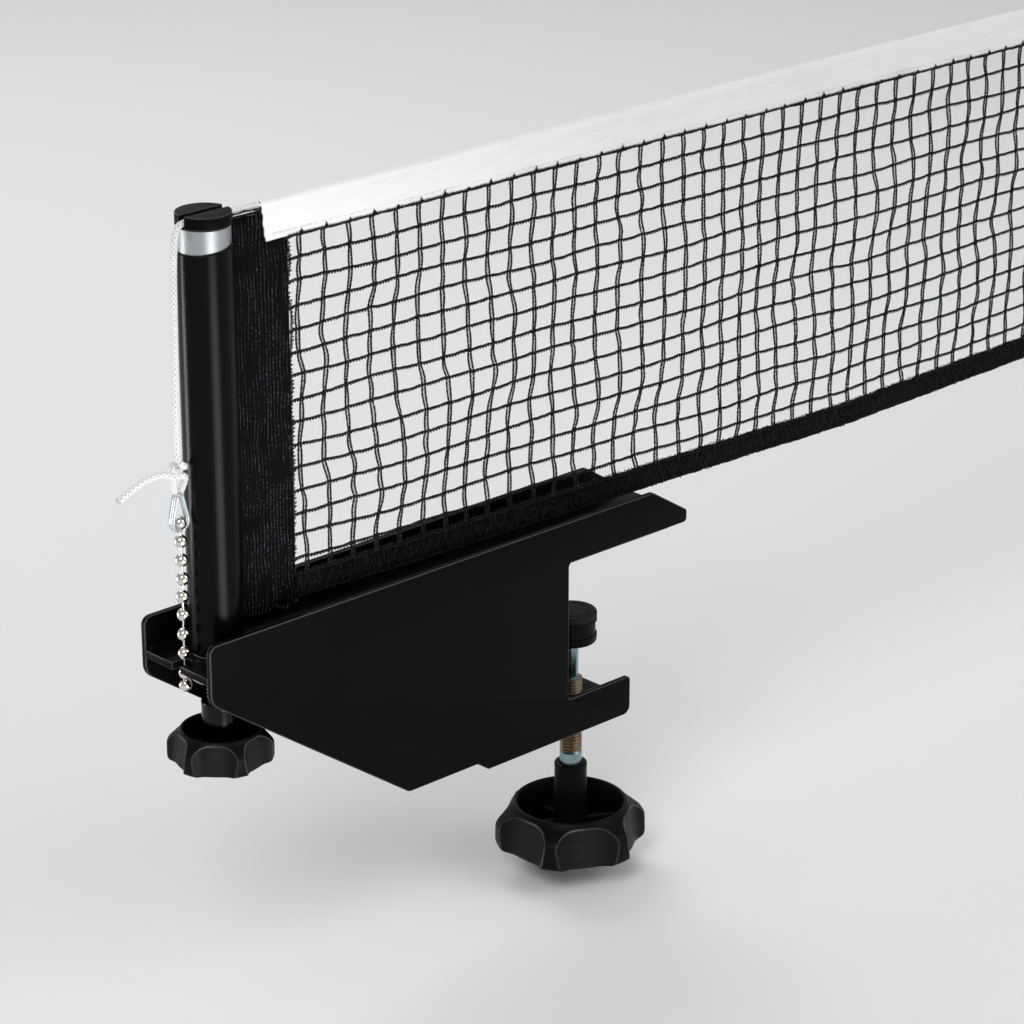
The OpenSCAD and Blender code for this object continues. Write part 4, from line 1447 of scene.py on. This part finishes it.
class NETCLAMP_OT_bands(bpy.types.Operator):
    """Makes the ribbed bands at both ends of the net"""

    bl_idname = "net_clamp.bands"
    bl_label = "Side Bands"

    # the height of the bands' cut lower edge over the playing surface
    LOWEST = 12

    def execute(self, context):
        # the light colour is for painted highlight specks on the ribs
        light, dark = srgb("#64656e"), srgb("#0b0b0e")
        knit = fibre("black knitted band", light, dark, grain_mm=0.5, sheen=0.02, highlight_flecks=0.5, gloss=0.1)
        light, dark = srgb("#0c0c0f"), srgb("#040405")
        ground = fibre("black knit between the ribs", light, dark, grain_mm=0.6, sheen=0.0, gloss=0.05)
        shape = NetShape()
        for name, node, held_by in (
            ("side_band", "net_side_band", "post_tube"),
            ("far_band", "net_far_band", "net_top_tape"),
        ):
            x0, (x1, _, top) = low(node)[0], high(node)
            cloth = self.backing(name + "_cloth", shape, x0 + 0.2, x1 - 0.6, top, ground)
            lines = self.ribs(shape, x0 + 0.7, x1, top)
            if node == "net_side_band":
                lines += self.casing(high("post_cap")[0] - 0.2, low("net_top_tape")[0], top)
            ribs = yarns(name + "_ribbed", lines, 0.22, 3, knit)
            placed(cloth, "post", "net_fabric", node)
            placed(ribs, "post", "net_fabric", node)
        return {"FINISHED"}

    def casing(self, x0, x1, top):
        """The knit that runs beside the cord from the cap into the tape's mouth."""
        lines = []
        for side in (-1, 1):
            for k in range(2):
                line = []
                for x in np.arange(x0, x1 + 0.8, 0.4):
                    aside = side * (1.62 - 0.5 * max(0, (x - x1 + 1.2) / 1.6))
                    line.append((x, aside, top + 0.1 + 1.15 * k + 0.25 * wave(19, x / 3, k * 1.7, side)))
                lines += twisted(line, 0.22, 1.6, start=k * 1.3)
        return lines

    def bottom(self, shape, x):
        return shape.hem_low(x) - 1.2 + 0.5 * wave(9, x / 3, 0, 0)

    def backing(self, name, shape, x0, x1, top, knit):
        """The knit behind the ribs: a thin cloth with a corrugated face."""
        across, up, depth = 61, 46, 0.16
        points = []
        for j in range(up + 1):
            for x in np.linspace(x0, x1, across):
                z = self.bottom(shape, x) + (top - self.bottom(shape, x)) * j / up
                points.append((x, depth * math.cos(math.tau * (x - x0 - 0.5) / (net().rib / MM)), z))
        return cloth_piece(name, points, across, knit, 0.6)

    def ribs(self, shape, x0, x1, top):
        """Ribs of knitted yarn up the band, and small loops that stand out from its edge."""
        pitch = net().rib / MM

        def sway(i, z):
            return 0.75 * wave(11, i * 0.16, z / 11, 0)

        lines = []
        for i in range(int((x1 - x0) / pitch) + 1):
            x = x0 + i * pitch
            low_z = self.bottom(shape, x) - 0.4 - 0.8 * abs(wave(3, i * 1.3, 0, 0))
            zs = np.arange(low_z, top - 0.2, 0.27)
            line = [(x + sway(i, z), 0.12 * wave(12, i, z / 9, 0), z) for z in zs]
            lines += twisted(line, 0.27, 1.8, start=i * 1.9)
        rng = np.random.default_rng(13)
        for z in np.arange(self.bottom(shape, x) + 1, top - 2, 1.35):
            z += rng.uniform(-0.3, 0.3)
            foot = x + sway(i, z)
            tip = foot + 0.5 + rng.uniform(0.1, 0.7)
            lines.append([(foot, 0.3, z), (tip, 0.1, z + 0.25), (tip, -0.1, z + 0.7), (foot, -0.3, z + 0.95)])
        return lines


class NETCLAMP_OT_hem(bpy.types.Operator):
    """Makes the fuzzy hem along the net's lower edge"""

    bl_idname = "net_clamp.hem"
    bl_label = "Bottom Hem"

    def execute(self, context):
        shape = NetShape()
        # the light colours here are for painted highlight specks
        light, dark = finishes().net, srgb("#040405")
        knit = fibre("brushed black hem", light, dark, grain_mm=0.4, sheen=0.02, highlight_flecks=0.62, gloss=0.08)
        light, dark = srgb("#36373d"), srgb("#0c0d10")
        stitch = fibre("curling hem stitches", light, dark, grain_mm=0.6, sheen=0.04, highlight_flecks=0.5, gloss=0.1)
        hem = self.ribbon(shape, knit)
        loops = yarns("hem_loops", self.loops(shape), 0.2, 3, stitch)
        placed(hem, "post", "net_fabric", "net_bottom_hem")
        placed(loops, "post", "net_fabric", "net_bottom_hem")
        return {"FINISHED"}

    def ribbon(self, shape, knit):
        """A soft band folded up round the net's lower edge: fuller in the middle, with an uneven edge."""
        across, step, half, fold = 25, 2.4, 0.72, 0.14
        points = []
        for x in np.arange(shape.left - 0.8, shape.right + 0.8, step):
            base = shape.hem_low(x) + 0.25 * wave(15, x / 2.4, 0, 0)
            for s in np.linspace(-1, 1, across):
                up = max(0.0, (abs(s) - fold) / (1 - fold))
                turn = min(1.0, abs(s) / fold) * math.pi / 2
                y = half * math.sin(turn) + 0.28 * math.sin(math.pi * up) + 0.12 * wave(16, x / 3, up * 4, s)
                z = base + half * (1 - math.cos(turn)) + (shape.HEM_H - half - 0.3) * up
                points.append((x, math.copysign(y, s) + 0.3 * wave(17, x / 20, 0, 0), z))
        return cloth_piece("hem_ribbon", points, across, knit, 0.4)

    def loops(self, shape):
        """Curling stitches over both faces of the hem: wavy rows along it, crossed by slanting loops."""
        rng = np.random.default_rng(21)
        lines = []
        for side in (-1, 1):
            for row, share in enumerate((0.08, 0.97)):
                line = []
                for k, x in enumerate(np.arange(shape.left, shape.right, 0.55)):
                    curl = 0.42 * math.sin(k * 2.2 + row) + 0.3 * wave(61, x / 2.2, row * 2.0, side)
                    out = 0.95 + 0.3 * math.sin(math.pi * share) + 0.16 * math.cos(k * 2.2 + row)
                    line.append((x, side * out, shape.hem_low(x) + shape.HEM_H * share + curl))
                lines.append(line)
            x = shape.left
            while x < shape.right:
                lean = rng.uniform(-0.9, 1.3)
                start, reach = rng.uniform(0.0, 0.4), rng.uniform(0.45, 0.72)
                line = []
                for s in np.linspace(0, 1, 6):
                    up = min(1.03, start + reach * s)
                    out = side * (0.95 + 0.4 * math.sin(math.pi * s) + rng.uniform(0, 0.15))
                    sway = lean * (s - 0.5) + 0.28 * math.sin(s * 9 + start * 20)
                    line.append((x + sway, out, shape.hem_low(x) + shape.HEM_H * up))
                lines.append(line)
                x += rng.uniform(0.45, 1.0)
        return lines


class NETCLAMP_OT_tape(bpy.types.Operator):
    """Makes the folded white top tape with its stitches and the net's edge below it"""

    bl_idname = "net_clamp.tape"
    bl_label = "Top Tape"

    # the folded height, the length of the aslant mouth, and points from one lower edge to the other
    TALL, MOUTH, ACROSS = 13.2, 6, 41
    # the fold's radius over the cord, and its share of the way down
    FOLD, TURNED = 1.45, 0.26

    def execute(self, context):
        cotton = woven_tape(finishes().tape, srgb("#cfcfcd"))
        thread = fibre("white sewing thread", finishes().tape, srgb("#d2d2d0"), grain_mm=0.2, sheen=0.05)
        yarn = bpy.data.materials["black polyester yarn"]
        shape = NetShape()
        tape = self.fold(cotton)
        seam = yarns("tape_seam", self.seam(shape), 0.2, 4, thread)
        edge = yarns("tape_edge_yarns", self.edge(shape), 0.46, 4, yarn)
        edge = joined("tape_edge_yarns", edge, yarns("tape_tufts", self.tufts(shape), 0.22, 4, yarn))
        placed(tape, "post", "white_tape", "net_top_tape")
        placed(seam, "post", "white_tape", "net_top_tape")
        placed(edge, "post", "net_mesh", "net_top_tape")
        return {"FINISHED"}

    def section(self, x):
        """Half width and height of the folded cloth at x, from one lower edge over the cord to the other."""
        top, base = high("net_top_tape")[2], low("net_top_tape")[2]
        made = []
        for s in np.linspace(-1, 1, self.ACROSS):
            a = abs(s)
            if a < self.TURNED:
                turn = a / self.TURNED * math.pi / 2
                y, z = self.FOLD * math.sin(turn), top - self.FOLD + self.FOLD * math.cos(turn) - 0.05
            else:
                down = (a - self.TURNED) / (1 - self.TURNED)
                y = self.FOLD - 0.55 * min(1, down * 2.2) + 0.12 * wave(31, x / 17, down * 2, 0)
                z = top - 1.5 - (top - 1.5 - base) * down
            y += 0.16 * wave(33, x / 9, z / 4, 0)
            made.append((y * (1 if s > 0 else -1), z + 0.18 * wave(34, x / 24, 0, 0) * (1 - a * 0.5)))
        return made

    def fold(self, cotton):
        """The cloth as one bent sheet, its mouth cut a little aslant and frayed."""
        x0, (x1, _, top) = low("net_top_tape")[0], high("net_top_tape")
        xs = np.concatenate([np.linspace(0, self.MOUTH, 12), np.arange(8, x1 - x0, 2.0), [x1 - x0]])
        points = []
        for along in xs:
            share = max(0.0, 1 - along / self.MOUTH)
            for y, z in self.section(x0 + along):
                cut = share * (0.2 + 1.7 * (top - z) / self.TALL + 0.35 * wave(35, z / 1.3, y, 0))
                points.append((x0 + along + cut, y, z))
        return cloth_piece("cotton_tape", points, self.ACROSS, cotton, 0.5)

    def seam(self, shape):
        """Lock stitches along the tape, a little above its lower edge, on both faces."""
        lines = []
        z = shape.tape + 1.9
        for side in (-1, 1):
            x = low("net_top_tape")[0] + 4
            while x < high("net_top_tape")[0] - 3:
                stitch = ((0, 0.9, 0), (0.5, 1.16, 0), (1.9, 1.16, 0.05), (2.4, 0.9, 0))
                lines.append([(x + on, side * out, z + up) for on, out, up in stitch])
                x += 2.9
        return lines

    def edge(self, shape):
        """The knitted edge of the net, like a rope along the tape's lower edge."""
        xs = np.arange(shape.left - 2, shape.right + 2, 0.55)
        line = [(x, 0, shape.tape - 0.35 + 0.2 * wave(41, x / 5, 0, 0)) for x in xs]
        return twisted(line, 0.62, 2.6, 3)

    def tufts(self, shape):
        """Small loops of yarn that wrap over the tape's lower edge above each column."""
        rng = np.random.default_rng(5)
        lines = []
        for i in range(shape.count):
            x = shape.column_x(i) + rng.uniform(-0.4, 0.4)
            tall = rng.uniform(0.5, 1.5)
            lean = rng.uniform(-0.3, 0.3)
            for side in (-1, 1):
                for off in (-0.5, 0.0, 0.5):
                    end = shape.tape + tall * (1 - 0.9 * abs(off)) + rng.uniform(-0.2, 0.15)
                    foot = (x + off * 0.8, side * 0.7, shape.tape - 0.9)
                    bend = (x + off + lean * 0.5, side * 1.42, shape.tape + tall * 0.35)
                    tip = (x + off * 0.6 + lean, side * 1.46, end)
                    lines.append([foot, bend, tip, (x + off * 0.3 + lean, side * 1.2, end + 0.2)])
        for x in np.arange(shape.left - 1, shape.right, 1.05):
            tall = rng.uniform(0.05, 0.45)
            for side in (-1, 1):
                loop = ((0, 1.1, -0.5), (0.2, 1.42, 0), (0.5, 1.3, tall), (0.7, 1.1, -0.2))
                lines.append([(x + on, side * out, shape.tape + up) for on, out, up in loop])
        return lines


trees = {}
STEPS = (
    NETCLAMP_OT_stage,
    NETCLAMP_OT_cord,
    NETCLAMP_OT_bracket,
    NETCLAMP_OT_nuts,
    NETCLAMP_OT_rubber,
    NETCLAMP_OT_post,
    NETCLAMP_OT_screws,
    NETCLAMP_OT_knobs,
    NETCLAMP_OT_chain,
    NETCLAMP_OT_mesh,
    NETCLAMP_OT_bands,
    NETCLAMP_OT_hem,
    NETCLAMP_OT_tape,
)
GROUPS = {
    "net_clamp_finishes": NetClampFinishes,
    "net_clamp_net": NetClampNet,
    "net_clamp_parts": NetClampParts,
    "net_clamp_stage": NetClampStage,
}


class NETCLAMP_PT_panel(bpy.types.Panel):
    """Buttons for each piece, and the sizes and colours that they use"""

    bl_label = "Net Clamp"
    bl_idname = "NETCLAMP_PT_panel"
    bl_space_type = "VIEW_3D"
    bl_region_type = "UI"
    bl_category = "Net Clamp"

    def draw(self, context):
        for step in STEPS:
            self.layout.operator(step.bl_idname)
        for name, group in GROUPS.items():
            box = self.layout.box()
            for prop in group.__annotations__:
                box.prop(getattr(context.scene, name), prop)


def register():
    for made in (*GROUPS.values(), *STEPS, NETCLAMP_PT_panel):
        bpy.utils.register_class(made)
    for name, group in GROUPS.items():
        setattr(bpy.types.Scene, name, PointerProperty(type=group))


def unregister():
    for name in GROUPS:
        delattr(bpy.types.Scene, name)
    for made in reversed((*GROUPS.values(), *STEPS, NETCLAMP_PT_panel)):
        bpy.utils.unregister_class(made)


def main():
    register()
    trees.update(yarn=yarn_tree(), ball_chain=ball_chain_tree(), thread=thread_tree())
    for step in STEPS:
        group, name = step.bl_idname.split(".")
        getattr(getattr(bpy.ops, group), name)()


if __name__ == "__main__":
    main()
